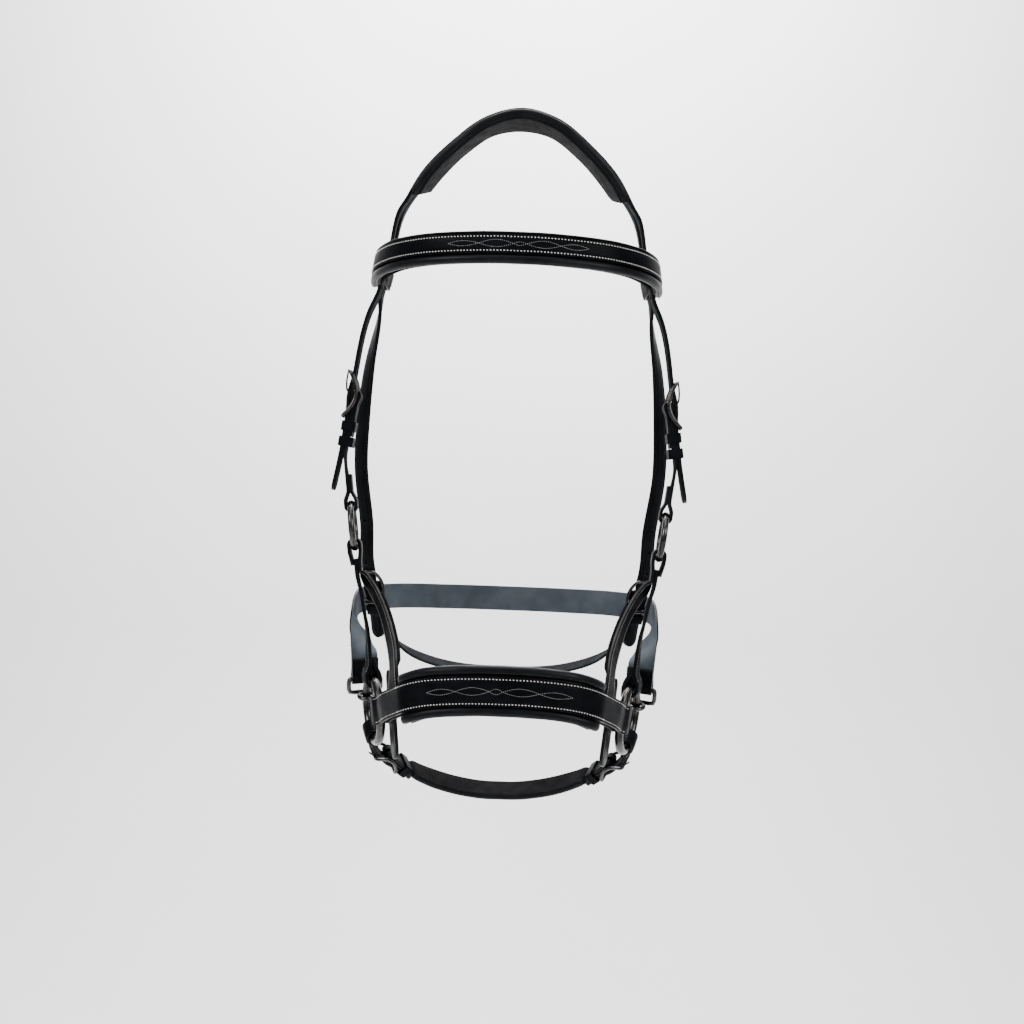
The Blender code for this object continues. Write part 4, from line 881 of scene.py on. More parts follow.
@dataclass(frozen=True)
class SteelFinish:
    """Polished steel with the fine marks of wear."""

    name: str
    dark: tuple
    light: tuple
    smooth: float
    rough: float

    def material(self) -> bpy.types.Material:
        """A dark, warm polish whose darkness is painted shade and whose warmth is painted reflection, with hairline
        scratches and small dull patches.
        """
        graph = Graph(self.name)
        graph.shader.inputs["Metallic"].default_value = 1
        cloud = graph.texture("ShaderNodeTexNoise", 90, Detail=4)
        graph.shades(cloud.outputs["Fac"], self.dark, self.light)
        dull = graph.texture("ShaderNodeTexNoise", 260, Detail=5)
        graph.roughen(dull.outputs["Fac"], self.smooth, self.rough)
        hairs = graph.texture("ShaderNodeTexNoise", 500, (1, 9, 1), Detail=4)
        graph.bump(hairs.outputs["Fac"], 0.02 * MM, 0.35)
        return graph.material


STRAP_GRAIN = LeatherFinish(
    "strap_leather_grain", (0.0026, 0.003, 0.0038), (0.0057, 0.0065, 0.0081), 0.34, 0.46, 1300,
    0.035 * MM, 0.01, 0.022
)
# Blue-grey flesh side: partly the flesh side's own lighter tone, partly painted sheen, lightened to stand for the
# pale grazing reflection on black leather.
STRAP_FLESH_AND_SHEEN = LeatherFinish(
    "strap_leather_flesh", (0.055, 0.066, 0.08), (0.085, 0.098, 0.115), 0.7, 0.9, 900, 0.1 * MM
)
STRAP_EDGE = LeatherFinish(
    "strap_leather_edge", (0.002, 0.002, 0.0025), (0.0045, 0.0045, 0.0055), 0.28, 0.45, 700, 0.04 * MM
)
BILLET_FLESH = LeatherFinish(
    "billet_leather_flesh", (0.007, 0.008, 0.0095), (0.013, 0.0145, 0.017), 0.7, 0.88, 900, 0.08 * MM, 0, 0.05
)
SOFT_GRAIN = LeatherFinish(
    "padded_leather_grain", (0.0022, 0.0025, 0.0032), (0.0055, 0.0062, 0.008), 0.32, 0.46, 1000, 0.05 * MM, 0.03
)
LINING_GRAIN = LeatherFinish(
    "lining_leather_grain", (0.003, 0.003, 0.0035), (0.006, 0.006, 0.007), 0.65, 0.85, 1500, 0.04 * MM, 0, 0.04
)
CREAM_THREAD = ThreadFinish("cream_thread", (0.76, 0.73, 0.66), (0.93, 0.91, 0.86))
SILVER_THREAD = ThreadFinish("silver_grey_thread", (0.2, 0.2, 0.2), (0.34, 0.34, 0.33))
SMOKE_THREAD = ThreadFinish("smoke_thread", (0.32, 0.31, 0.29), (0.52, 0.5, 0.46))
# Painted shade: both steel shades sit far below polished steel's own colour, darkened to stand for the shadow and
# dark surroundings it reflects; their warm tint is painted reflection.
SHADED_STEEL = SteelFinish("worn_polished_steel", (0.034, 0.032, 0.031), (0.09, 0.086, 0.084), 0.17, 0.31)
HIDE = (STRAP_GRAIN, BILLET_FLESH, STRAP_EDGE)
PADDED = (SOFT_GRAIN, LINING_GRAIN)

Finish = LeatherFinish | ThreadFinish | SteelFinish


class Workshop:
    """Turns shapes into pieces, dresses them and hangs them on their bodies."""

    def __init__(self) -> None:
        """No finish is mixed yet."""
        self.mixed: dict[Finish, bpy.types.Material] = {}

    def material(self, finish: Finish) -> bpy.types.Material:
        """The finish's material, mixed once."""
        if finish not in self.mixed:
            self.mixed[finish] = finish.material()
        return self.mixed[finish]

    def piece(
        self,
        name: str,
        shape: Shape,
        finishes: Sequence[Finish],
        slot: str,
        body: str = "bridle",
        node: str | None = None,
        sharp: float = 48,
    ) -> bpy.types.Object:
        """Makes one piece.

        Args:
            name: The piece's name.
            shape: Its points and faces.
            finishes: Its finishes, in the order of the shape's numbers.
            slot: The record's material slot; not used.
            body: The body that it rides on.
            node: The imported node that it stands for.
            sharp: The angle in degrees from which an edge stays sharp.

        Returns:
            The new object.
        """
        mesh = bpy.data.meshes.new(name)
        mesh.from_pydata([Vector(p) for p in shape.points], [], shape.faces)
        for finish in finishes:
            mesh.materials.append(self.material(finish))
        mesh.polygons.foreach_set("material_index", [min(k, len(finishes) - 1) for k in shape.finishes])
        work = bmesh.new()
        work.from_mesh(mesh)
        bmesh.ops.recalc_face_normals(work, faces=work.faces)
        work.to_mesh(mesh)
        work.free()
        mesh.shade_smooth()
        mesh.set_sharp_from_angle(angle=math.radians(sharp))
        thing = bpy.data.objects.new(name, mesh)
        bpy.context.scene.collection.objects.link(thing)
        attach(thing, body)
        if node:
            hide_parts(node)
        LOG.info("%s: %d faces", name, len(mesh.polygons))
        return thing

    def pierce(self, thing: bpy.types.Object, cutters: Shape) -> None:
        """Cuts the shapes out of a piece."""
        mesh = bpy.data.meshes.new("cutters")
        mesh.from_pydata([Vector(p) for p in cutters.points], [], cutters.faces)
        for material in thing.data.materials:
            mesh.materials.append(material)
        mesh.polygons.foreach_set("material_index", [min(2, len(thing.data.materials) - 1)] * len(mesh.polygons))
        work = bmesh.new()
        work.from_mesh(mesh)
        bmesh.ops.recalc_face_normals(work, faces=work.faces)
        work.to_mesh(mesh)
        work.free()
        cutter = bpy.data.objects.new("cutters", mesh)
        bpy.context.scene.collection.objects.link(cutter)
        cut = thing.modifiers.new("holes", "BOOLEAN")
        cut.operation, cut.solver, cut.object = "DIFFERENCE", "EXACT", cutter
        graph = bpy.context.evaluated_depsgraph_get()
        whole = bpy.data.meshes.new_from_object(thing.evaluated_get(graph))
        thing.modifiers.clear()
        old, thing.data = thing.data, whole
        bpy.data.meshes.remove(old)
        bpy.data.objects.remove(cutter)
        bpy.data.meshes.remove(mesh)


# The bridle's plan


@dataclass(frozen=True)
class Plan:
    """Where rings and buckles hang, which every sub-assembly shares."""

    big_ring: Ring = Ring((103 * MM, -10 * MM, -479 * MM), 18, 5.9, 59 * MM, 7 * MM)
    small_ring: Ring = Ring((127 * MM, 5 * MM, -331 * MM), 2, 7, 42 * MM, 5.2 * MM)
    cheek_lean: float = math.radians(7.8)
    chin_fold: float = -125
    chin_swing: float = math.radians(12)
    chin_width: float = 15 * MM
    chin_back_ply: float = 14 * MM
    chin_reach: float = 21 * MM
    billet_width: float = 16 * MM

    @cached_property
    def cheek(self) -> Buckle:
        """The cheek's buckle."""
        lean = self.cheek_lean
        return Buckle(
            (128.5 * MM, 11 * MM, -224 * MM), (-math.sin(lean), 0, math.cos(lean)),
            (math.cos(lean), 0, math.sin(lean)), self.billet_width, 2.4 * MM, 3 * MM, 40 * MM, 1.6 * MM, 1.4 * MM
        )

    @cached_property
    def throat(self) -> Buckle:
        """The throat strap's buckle."""
        return Buckle(
            (112 * MM, 60 * MM, -382 * MM), (0.186, -0.147, 0.97), (0.743, -0.669, 0), self.billet_width,
            2.2 * MM, 3 * MM, 30 * MM, 1.4 * MM, 1.2 * MM
        )

    @cached_property
    def chin_way(self) -> Vec:
        """The way that the chin billet leaves the big ring."""
        return self.big_ring.way(self.chin_fold) * math.cos(self.chin_swing) - self.big_ring.axis * math.sin(
            self.chin_swing
        )

    @cached_property
    def chin_face(self) -> Vec:
        """The way that the chin billet looks there."""
        return self.big_ring.axis * math.cos(self.chin_swing) + self.big_ring.way(self.chin_fold) * math.sin(
            self.chin_swing
        )

    @cached_property
    def chin(self) -> Buckle:
        """The chin strap's buckle."""
        up, out = squared((0.55, -0.65, 0.52), (0.75, 0.1, -0.65))
        wire = self.big_ring.fold(self.chin_fold, self.chin_width)
        bar = wire + self.chin_way * self.chin_back_ply - up * self.chin_reach
        return Buckle(
            tuple(bar), tuple(up), tuple(out), self.chin_width, 2.4 * MM, 2.4 * MM, 30 * MM, 1.4 * MM, 1.2 * MM
        )


PLAN = Plan()


def add_hardware(shop: Workshop, area: str, buckle: Buckle) -> None:
    """The buckles, tongues and fixed keepers of both sides."""
    for side in Side:
        word = side.word
        shop.piece(f"{area}_buckle_rim_{word}", buckle.frame().on(side), [SHADED_STEEL], "polished_steel",
                   node=f"{area}_buckle_{word}")
        shop.piece(f"{area}_tongue_bar_{word}", buckle.tongue().on(side), [SHADED_STEEL], "polished_steel",
                   body=f"{area}_tongue_{word}", node=f"{area}_tongue_{word}")
        shop.piece(f"{area}_keeper_loop_{word}", Keeper(buckle, buckle.keeper_height).shape().on(side),
                   [STRAP_GRAIN], "strap_leather", node=f"{area}_keeper_{word}")


@dataclass(frozen=True)
class Browband:
    """The browband: strap folded round the billets, beaded padding and lining, with a line of lenses."""

    plan: Plan
    seat: tuple = (110 * MM, 22.5 * MM, -124 * MM)
    lean: float = math.radians(14)
    drop: float = 119 * MM
    front: float = 110 * MM
    width: float = 14 * MM
    leather: float = 2.6 * MM
    lift: float = 2.4 * MM
    pad_width: float = 24 * MM
    pad: float = 6 * MM
    lining: float = 2 * MM
    room: float = 3.2 * MM
    crown_width: float = 36 * MM
    crown_leather: float = 3 * MM
    shares: tuple = ((0, 0), (0.1, 0), (0.32, 0.035), (0.6, 0.14), (0.82, 0.33), (0.95, 0.58))
    facing: tuple = ((0, -1, 0), (0.04, -1, 0), (0.25, -0.97, 0), (0.6, -0.8, 0), (0.86, -0.5, 0), (0.97, -0.2, 0.1))
    lens_marks: tuple = (-53, -29, -3.2, 6.4, 32, 54)
    lens_heights: tuple = (3.8, 5.4, 2.6, 5.2, 3.8)

    @property
    def out(self) -> Vec:
        """The way that the billets look at the loop."""
        return np.array([math.cos(self.lean), 0, math.sin(self.lean)])

    @cached_property
    def lines(self) -> tuple[Path, float]:
        """The strap's middle with its folded loop, and where the loop starts."""
        half = self.crown_leather / 2 + SEAT + self.leather / 2
        out_depth = 2 * self.room - half + self.leather
        radius = (out_depth + half) / 2
        centre = np.array(self.seat) + self.out * (out_depth - half) / 2
        reach = np.array([0, self.crown_width / 2 + SLACK, 0])
        goal = centre - reach + self.out * radius
        top = self.lift - self.drop
        points = [
            np.array([goal[0] * x, -self.front + (goal[1] + self.front) * y, top + (goal[2] - top) * y])
            for x, y in self.shares
        ]
        ends = [goal, centre + reach + self.out * radius]
        outer = smooth([*points, *ends], [*self.facing, self.out, self.out], (1, 0, 0))
        turn = bend(centre + reach, np.array([0, -1, 0]), self.out, radius)
        inner = [centre + reach * share - self.out * radius for share in (1, 0, -1)]
        return join(outer, turn, (inner, [-self.out] * 3)), Path(*outer).nearest(goal)

    def build(self, shop: Workshop) -> None:
        """Makes the strap, padding, lining and stitching."""
        line, end = self.lines
        path = line.doubled()
        middle = path.length / 2
        strap = Strap(path, self.width, self.leather, inset=1.8 * MM, rubbed=(middle - end) / 2)
        shop.piece("browband_hide", strap.shape(), HIDE + (LINING_GRAIN,), "strap_leather", node="browband_strap")
        stop = end - 2 * self.leather
        down = -math.copysign(1, path.at(middle)[2][2])
        top, reach = -self.leather / 2 - SEAT, self.pad_width / 2
        high, low = reach - self.lift, reach + self.lift
        if down > 0:
            high, low = low, high
        padding = Padding(path, self.width, high, low, top, self.pad, middle - stop, middle + stop)
        shop.piece("browband_padding", padding.shape(), PADDED, "padded_leather", node="browband_pad")
        depth = self.leather / 2 + self.pad + 2 * SEAT + self.lining / 2
        under = path.beside(middle - stop, middle + stop, -depth, down * self.lift)
        back = Strap(under, self.pad_width - self.lining, self.lining, inset=0)
        shop.piece("browband_backing", back.shape(), [LINING_GRAIN], "lining_leather", node="browband_lining")
        rows = Shape()
        for aside in (-1, 1):
            rows.take(strap.stitches(MAIN_ROW, aside * (self.width / 2 - strap.inset), middle - end, middle + end))
        shop.piece("browband_stitching", rows, [CREAM_THREAD], "strap_leather")
        shop.piece("browband_lens_stitching", self.lenses(strap, middle), [SILVER_THREAD], "strap_leather")

    def lenses(self, strap: Strap, middle: float) -> Shape:
        """The old pattern of five lenses, sewn in fine thread."""
        rows = Shape()
        for k, height in enumerate(self.lens_heights):
            start, end = (middle + mark * MM for mark in self.lens_marks[k:k + 2])
            for way in (-1, 1):
                def aside(s: float, start=start, end=end, way=way, height=height) -> float:
                    share = min(max((s - start) / (end - start), 0), 1)
                    return way * height * MM / 2 * math.sin(math.pi * share)
                rows.take(FANCY_ROW.lay(strap.path, aside, lambda s, a=aside: strap.surface(a(s)), start, end))
        return rows


@dataclass(frozen=True)
class Noseband:
    """The noseband: strap folded round each big ring, beaded padding, lining, stitching and ring guards."""

    plan: Plan
    fold_angle: float = 7
    width: float = 22 * MM
    leather: float = 3 * MM
    pad_width: float = 38 * MM
    pad: float = 7 * MM
    lining: float = 2 * MM
    front: float = 110 * MM
    drop: float = 448 * MM
    yaw: float = math.radians(26)
    knee: float = 28 * MM
    rise: float = 3.5 * MM
    seat: float = 34 * MM
    climb: float = 10 * MM
    branch_share: float = 0.52
    branch_width: float = 17 * MM
    branch_leather: float = 2.8 * MM
    shares: tuple = ((0, 0, 0), (0.13, 0, 0), (0.45, 0.1, 0.1), (0.78, 0.42, 0.42))
    seat_shares: tuple = (1, 0.86, 0.55, 0.2)
    end_shares: tuple = ((1, 1), (0.6, 0.4), (0.36, 0.04), (0, 0))
    facing: tuple = ((0, -1, 0), (0.02, -1, 0), (0.25, -0.96, 0), (0.6, -0.8, 0))
    guard_size: tuple = (71 * MM, 19 * MM)
    guard_ahead: float = 6 * MM
    lens_marks: tuple = (-56, -34, -8.8, 1, 28, 54)
    lens_heights: tuple = (4.3, 5.6, 4, 5.6, 4.3)

    @property
    def out(self) -> Vec:
        """The way that the seat of the branches looks."""
        return np.array([math.cos(self.yaw), -math.sin(self.yaw), 0])

    @cached_property
    def line(self) -> Path:
        """The middle of the doubled end, carried on to the middle of the face."""
        ring = self.plan.big_ring
        fold = ring.fold(self.fold_angle, self.width)
        way, up = ring.way(self.fold_angle), ring.way(self.fold_angle + 90)
        ending = [fold + way * self.knee * along + up * self.rise * rise for along, rise in self.end_shares]
        ahead = np.array([self.out[1], -self.out[0], 0])
        rise = np.array([0, 0, 1])
        seat = [ending[0] + ahead * self.seat * share + rise * self.climb * share for share in self.seat_shares]
        points = between((0, -self.front, -self.drop), seat[0], self.shares)
        facing = [*self.facing] + [self.out] * len(seat) + [ring.axis] * len(ending)
        return Path(*smooth([*points, *seat, *ending], facing, (1, 0, 0)))

    @property
    def branch(self) -> float:
        """Where the front branch goes in, along the line."""
        return self.line.length - self.knee - self.seat * self.branch_share

    @property
    def pad_end(self) -> float:
        """Where the padding ends."""
        return self.branch - self.branch_width / 2 - self.leather

    @property
    def wide(self) -> float:
        """Radius of the fold round the ring's wire."""
        return self.plan.big_ring.wire + SLACK + self.leather / 2

    def build(self, shop: Workshop) -> None:
        """Makes the strap, padding, lining, stitching and guards."""
        line, ring = self.line, self.plan.big_ring
        lap = self.branch_leather / 2 + SEAT + self.leather / 2

        def depth(s: float) -> float:
            return eased(s, line.length, self.wide, lap, 3 * self.leather, ring.hold(self.width))

        _, along, _, out = line.at(line.length)
        path = join(
            line.run(0, line.length, depth),
            bend(line.points[-1], -along, out, self.wide),
            line.run(line.length, self.pad_end + SLACK, lambda s: -depth(s)),
        ).doubled()
        middle = path.length / 2
        strap = Strap(path, self.width, self.leather, inset=1.9 * MM)
        shop.piece("noseband_hide", strap.shape(), HIDE, "strap_leather", node="noseband_strap")
        top, reach = -self.leather / 2 - SEAT, self.pad_width / 2
        start, end = middle - self.pad_end, middle + self.pad_end
        padding = Padding(path, self.width, reach, reach, top, self.pad, start, end)
        shop.piece("noseband_padding", padding.shape(), PADDED, "padded_leather", node="noseband_pad")
        under = path.beside(start, end, -(self.leather / 2 + self.pad + 2 * SEAT + self.lining / 2))
        back = Strap(under, self.pad_width - self.lining, self.lining, inset=0)
        shop.piece("noseband_backing", back.shape(), [LINING_GRAIN], "lining_leather", node="noseband_lining")
        rows = Shape()
        fold_end = line.length - 3 * MM
        for way in (-1, 1):
            aside = way * (self.width / 2 - strap.inset)
            rows.take(strap.stitches(MAIN_ROW, aside, start, end))
            for sign in (-1, 1):
                near, far = middle + sign * self.pad_end, middle + sign * fold_end
                rows.take(strap.stitches(FOLD_ROW, aside, min(near, far), max(near, far)))
                rows.take(strap.stitches(TACK, aside, near - 1.3 * MM, near + 1.3 * MM))
        shop.piece("noseband_stitching", rows, [CREAM_THREAD], "strap_leather")
        lenses = Browband.lenses(self, strap, middle)
        shop.piece("noseband_lens_stitching", lenses, [SILVER_THREAD], "strap_leather")
        self.add_guards(shop)

    def add_guards(self, shop: Workshop) -> None:
        """The upright tabs inside the noseband's folds, behind the big rings."""
        line, ring = self.line, self.plan.big_ring
        point, _, _, out = line.at(line.length - self.guard_ahead)
        centre = point - out * (self.wide + self.leather / 2 + SEAT + self.branch_leather / 2)
        centre = centre + ring.up * (ring.centre[2] - centre[2]) / ring.up[2]
        tall, wide = self.guard_size
        path = Path([centre + ring.up * tall * share for share in (-0.5, 0, 0.5)], [ring.axis] * 3)
        tab = Strap(path, wide, self.branch_leather, inset=1.8 * MM, start_tip=wide / 2, end_tip=wide / 2)
        rows = Shape()
        for way in (-1, 1):
            rows.take(tab.stitches(FINE_ROW, way * (wide / 2 - tab.inset), wide / 2, tall - wide / 2))
        for side in Side:
            shop.piece(f"ring_guard_tab_{side.word}", tab.shape().on(side), [SOFT_GRAIN, BILLET_FLESH, STRAP_EDGE],
                       "lining_leather", node=f"ring_guard_{side.word}")
            shop.piece(f"ring_guard_stitching_{side.word}", rows.on(side), [SMOKE_THREAD], "strap_leather")
            shop.piece(f"big_ring_steel_{side.word}", ring.shape().on(side), [SHADED_STEEL], "polished_steel",
                       body=f"big_ring_{side.word}", node=f"big_ring_{side.word}")


@dataclass(frozen=True)
class Headpiece:
    """The crown with its four billets in one hide, and the pad under it."""

    plan: Plan
    width: float = 36 * MM
    slit: float = 4 * MM
    leather: float = 3 * MM
    pad_width: float = 42 * MM
    pad: float = 7 * MM
    dip: float = 0.604 * MM
    split: tuple = (92 * MM, 22.5 * MM, -58 * MM)
    arch: tuple = ((0, 0, 0), (0.3, 0.03, 0.09), (0.58, 0.25, 0.35), (0.82, 0.62, 0.66), (1, 1, 1))
    arch_facing: tuple = ((0, 0, 1), (0.33, -0.05, 0.94), (0.6, -0.05, 0.8), (0.76, 0, 0.65), (0.92, 0, 0.39))
    loop_shares: tuple = (0.95, 0.75, -0.75, -0.95)
    loop_step: float = 14 * MM
    stride: float = 24 * MM
    rear_shares: tuple = (
        (0.5, 0.16, 0.11), (1.4, 0.48, 0.29), (1.9, 0.72, 0.47), (2.0, 0.84, 0.65), (1.25, 0.96, 0.86)
    )
    rear_facing: tuple = (
        (0.97, -0.15, 0.24), (0.85, -0.5, 0.1), (0.75, -0.66, 0), (0.74, -0.67, 0), (0.74, -0.67, 0.05)
    )
    cheek_tail: float = 80 * MM
    throat_tail: float = 45 * MM
    tip: float = 7 * MM
    hole_step: float = 18 * MM

    @property
    def aside(self) -> float:
        """From the crown's middle to a billet's."""
        return (self.width + self.slit) / 4

    @cached_property
    def line(self) -> Path:
        """The crown's middle from the poll to the split."""
        start = (0, 0, self.pad + SEAT + self.leather / 2 + self.dip)
        return Path(*smooth(between(start, self.split, self.arch), self.arch_facing, (1, 0, 0)))

    def billets(self, browband: Browband) -> tuple[Path, Path]:
        """The middles of the front and rear billets, from the split to their tips."""
        point, along, across, face = self.line.at(self.line.length)
        back = across * math.copysign(1, across[1])
        out, lean = browband.out, browband.lean
        down = np.array([math.sin(lean), 0, -math.cos(lean)])
        buckle = self.plan.cheek
        lie = buckle.half + 3.2 * Keeper.LENGTH
        seat = np.array(browband.seat) - np.array([0, self.aside, 0])
        points = [point - back * self.aside, point - back * self.aside + along * self.stride / 3]
        points += [seat - down * self.loop_step * share for share in self.loop_shares]
        top = buckle.place(buckle.half + 4 * buckle.rim, buckle.under)
        points += between(seat, top, [(0.55, 0.7, 0.42)])
        facing = [face, face] + [out] * 4 + [unit(out + buckle.axes[1])]
        points += buckle.billet_points(buckle.half + 4 * buckle.rim, lie)
        points.append(buckle.place(-self.cheek_tail, buckle.under + self.leather / 2))
        facing += [buckle.axes[1]] * (len(points) - len(facing))
        front = Path(*smooth(points, facing))

        buckle = self.plan.throat
        lie = buckle.half + 1.8 * Keeper.LENGTH
        seat = np.array(browband.seat) + np.array([0, self.aside, 0])
        points = [point + back * self.aside, point + back * self.aside + along * self.stride / 4]
        points += [seat - down * self.loop_step * share for share in self.loop_shares]
        top = buckle.place(buckle.half + 4 * buckle.rim, buckle.under)
        points += between(seat, top, self.rear_shares)
        facing = [face, face] + [out] * 4 + [*self.rear_facing]
        points += buckle.billet_points(buckle.half + 4 * buckle.rim, lie)
        points.append(buckle.place(-self.throat_tail, buckle.under + self.leather / 2))
        facing += [buckle.axes[1]] * (len(points) - len(facing))
        return front, Path(*smooth(points, facing))

    def build(self, shop: Workshop, browband: Browband) -> None:
        """Makes the hide, its holes and the pad."""
        line = self.line
        front, rear = self.billets(browband)
        sheet, holes = Sheet(), Shape()
        body = Strap(line, self.width, self.leather)
        narrow = Strap(line, self.plan.billet_width, self.leather, hole_width=self.plan.cheek.hole_width)
        wide = [(a + shift, out, back) for shift in (-self.aside, self.aside) for a, out, back in narrow.columns()]
        stations = line.marks()
        for side in Side:
            rows = [[(o * side.flip, i * side.flip) for o, i in row] for row in body.grid(stations, wide)]
            tag = side.word
            sheet.band(tag, rows, sheet.bands["left"][0] if side is Side.RIGHT else None)
            for i, j in sheet.cells(tag):
                sheet.face(tag, i, j)
            last, count = sheet.bands[tag][-1], len(wide) // 2
            rear_first = line.at(line.length)[2][1] < 0
            parts = ((rear, self.plan.throat), (front, self.plan.cheek))
            for keys, (path, buckle) in zip((last[:count], last[count:]), parts if rear_first else parts[::-1]):
                low, high = buckle.hole_span(path)
                billet = Strap(path, self.plan.billet_width, self.leather, end_tip=self.tip,
                               hole_width=self.plan.cheek.hole_width, holes=((low, high),))
                marks = billet.stations()
                grid = [[(o * side.flip, i * side.flip) for o, i in row] for row in billet.grid(marks, billet.columns())]
                name = f"{tag}_{'front' if path is front else 'rear'}"
                sheet.band(name, grid, keys)
                middle = len(grid[0]) // 2 - 1
                for i, j in sheet.cells(name):
                    at = (marks[i] + marks[i + 1]) / 2
                    if not (j == middle and low < at < high):
                        sheet.face(name, i, j)
                holes.take(self.punches(path, low, high, 3 if path is front else 1).on(side))
        hide = shop.piece("crown_hide", sheet.shape(), HIDE, "strap_leather", node="crown_strap")
        shop.pierce(hide, holes)
        self.add_pad(shop)

    def punches(self, path: Path, low: float, high: float, below: int) -> Shape:
        """Round hole cutters above and below the buckle."""
        cutters = Shape()
        middle = (low + high) / 2
        for k in [*range(-3, 0), *range(1, below + 1)]:
            s = middle + k * self.hole_step
            if s > path.length - self.tip:
                continue
            point, along, _, face = path.at(s)
            cutters.take(tube([point - face * self.leather, point + face * self.leather], along, 1.7 * MM, 16))
        return cutters

    def add_pad(self, shop: Workshop) -> None:
        """The soft pad between crown and poll, with piped edges."""
        path = self.line.doubled()
        middle, end = path.length / 2, self.line.length - Keeper.LENGTH
        top = -self.leather / 2 - SEAT
        padding = Padding(path, self.width, self.pad_width / 2 + 0.6 * MM, self.pad_width / 2 + 0.6 * MM, top,
                          self.pad, middle - end, middle + end, proud=1.6 * MM)
        shop.piece("crown_padding", padding.shape(), PADDED, "padded_leather", node="crown_pad")


@dataclass(frozen=True)
class Cheeks:
    """Both cheekpieces with their buckles, keepers and small rings."""

    plan: Plan
    leather: float = 2.4 * MM
    fold_angle: float = 90
    back_ply: float = 34 * MM
    lie: float = 46 * MM
    foot: float = 26 * MM

    def build(self, shop: Workshop) -> None:
        """Makes both sides."""
        buckle, ring, width = self.plan.cheek, self.plan.small_ring, self.plan.billet_width
        fold, way = ring.fold(self.fold_angle, width), ring.way(self.fold_angle)
        points = [*straight(np.array(buckle.bar), buckle.place(-self.lie, 0)),
                  *straight(fold, fold + way * self.foot)[::-1]]
        line = Path(*smooth(points, [buckle.axes[1]] * 4 + [ring.axis] * 4))
        wide, hold = ring.wire + SLACK + self.leather / 2, ring.hold(width)

        def depth(s: float) -> float:
            near_head = eased(s, 0, buckle.fold, buckle.lap, 4 * self.leather)
            return max(near_head, eased(s, line.length, wide, buckle.lap, 4 * self.leather, hold))

        _, along, _, out = line.at(0)
        head = bend(line.points[0], along, out, buckle.fold)
        _, along, _, out = line.at(line.length)
        path = join(
            line.run(self.back_ply, 0, lambda s: -depth(s)),
            backwards(head),
            line.run(0, line.length, depth),
            bend(line.points[-1], -along, out, wide),
            line.run(line.length, line.length - self.foot, lambda s: -depth(s)),
        )
        strap = Strap(path, width, self.leather, hole_width=buckle.hole_width, holes=(buckle.slot_span(path),))
        outer = path.nearest(line.at(line.length)[0] + out * wide)
        rows = Shape()
        for way in (-1, 1):
            aside = way * (width / 2 - strap.inset)
            rows.take(strap.stitches(FINE_ROW, aside, outer - self.foot, outer - 5 * MM))
        second = buckle.keeper_height - Keeper.LENGTH * 1.6
        add_hardware(shop, "cheek", buckle)
        for side in Side:
            word = side.word
            shop.piece(f"cheekpiece_hide_{word}", strap.shape().on(side), HIDE, "strap_leather",
                       node=f"cheekpiece_{word}")
            shop.piece(f"cheekpiece_stitching_{word}", rows.on(side), [SMOKE_THREAD], "strap_leather")
            shop.piece(f"cheek_runner_loop_{word}", Keeper(buckle, second, SLACK / 2).shape().on(side),
                       [STRAP_GRAIN], "strap_leather", body=f"cheek_runner_{word}", node=f"cheek_runner_{word}")
            shop.piece(f"small_ring_steel_{word}", ring.shape().on(side), [SHADED_STEEL], "polished_steel",
                       body=f"small_ring_{word}", node=f"small_ring_{word}")


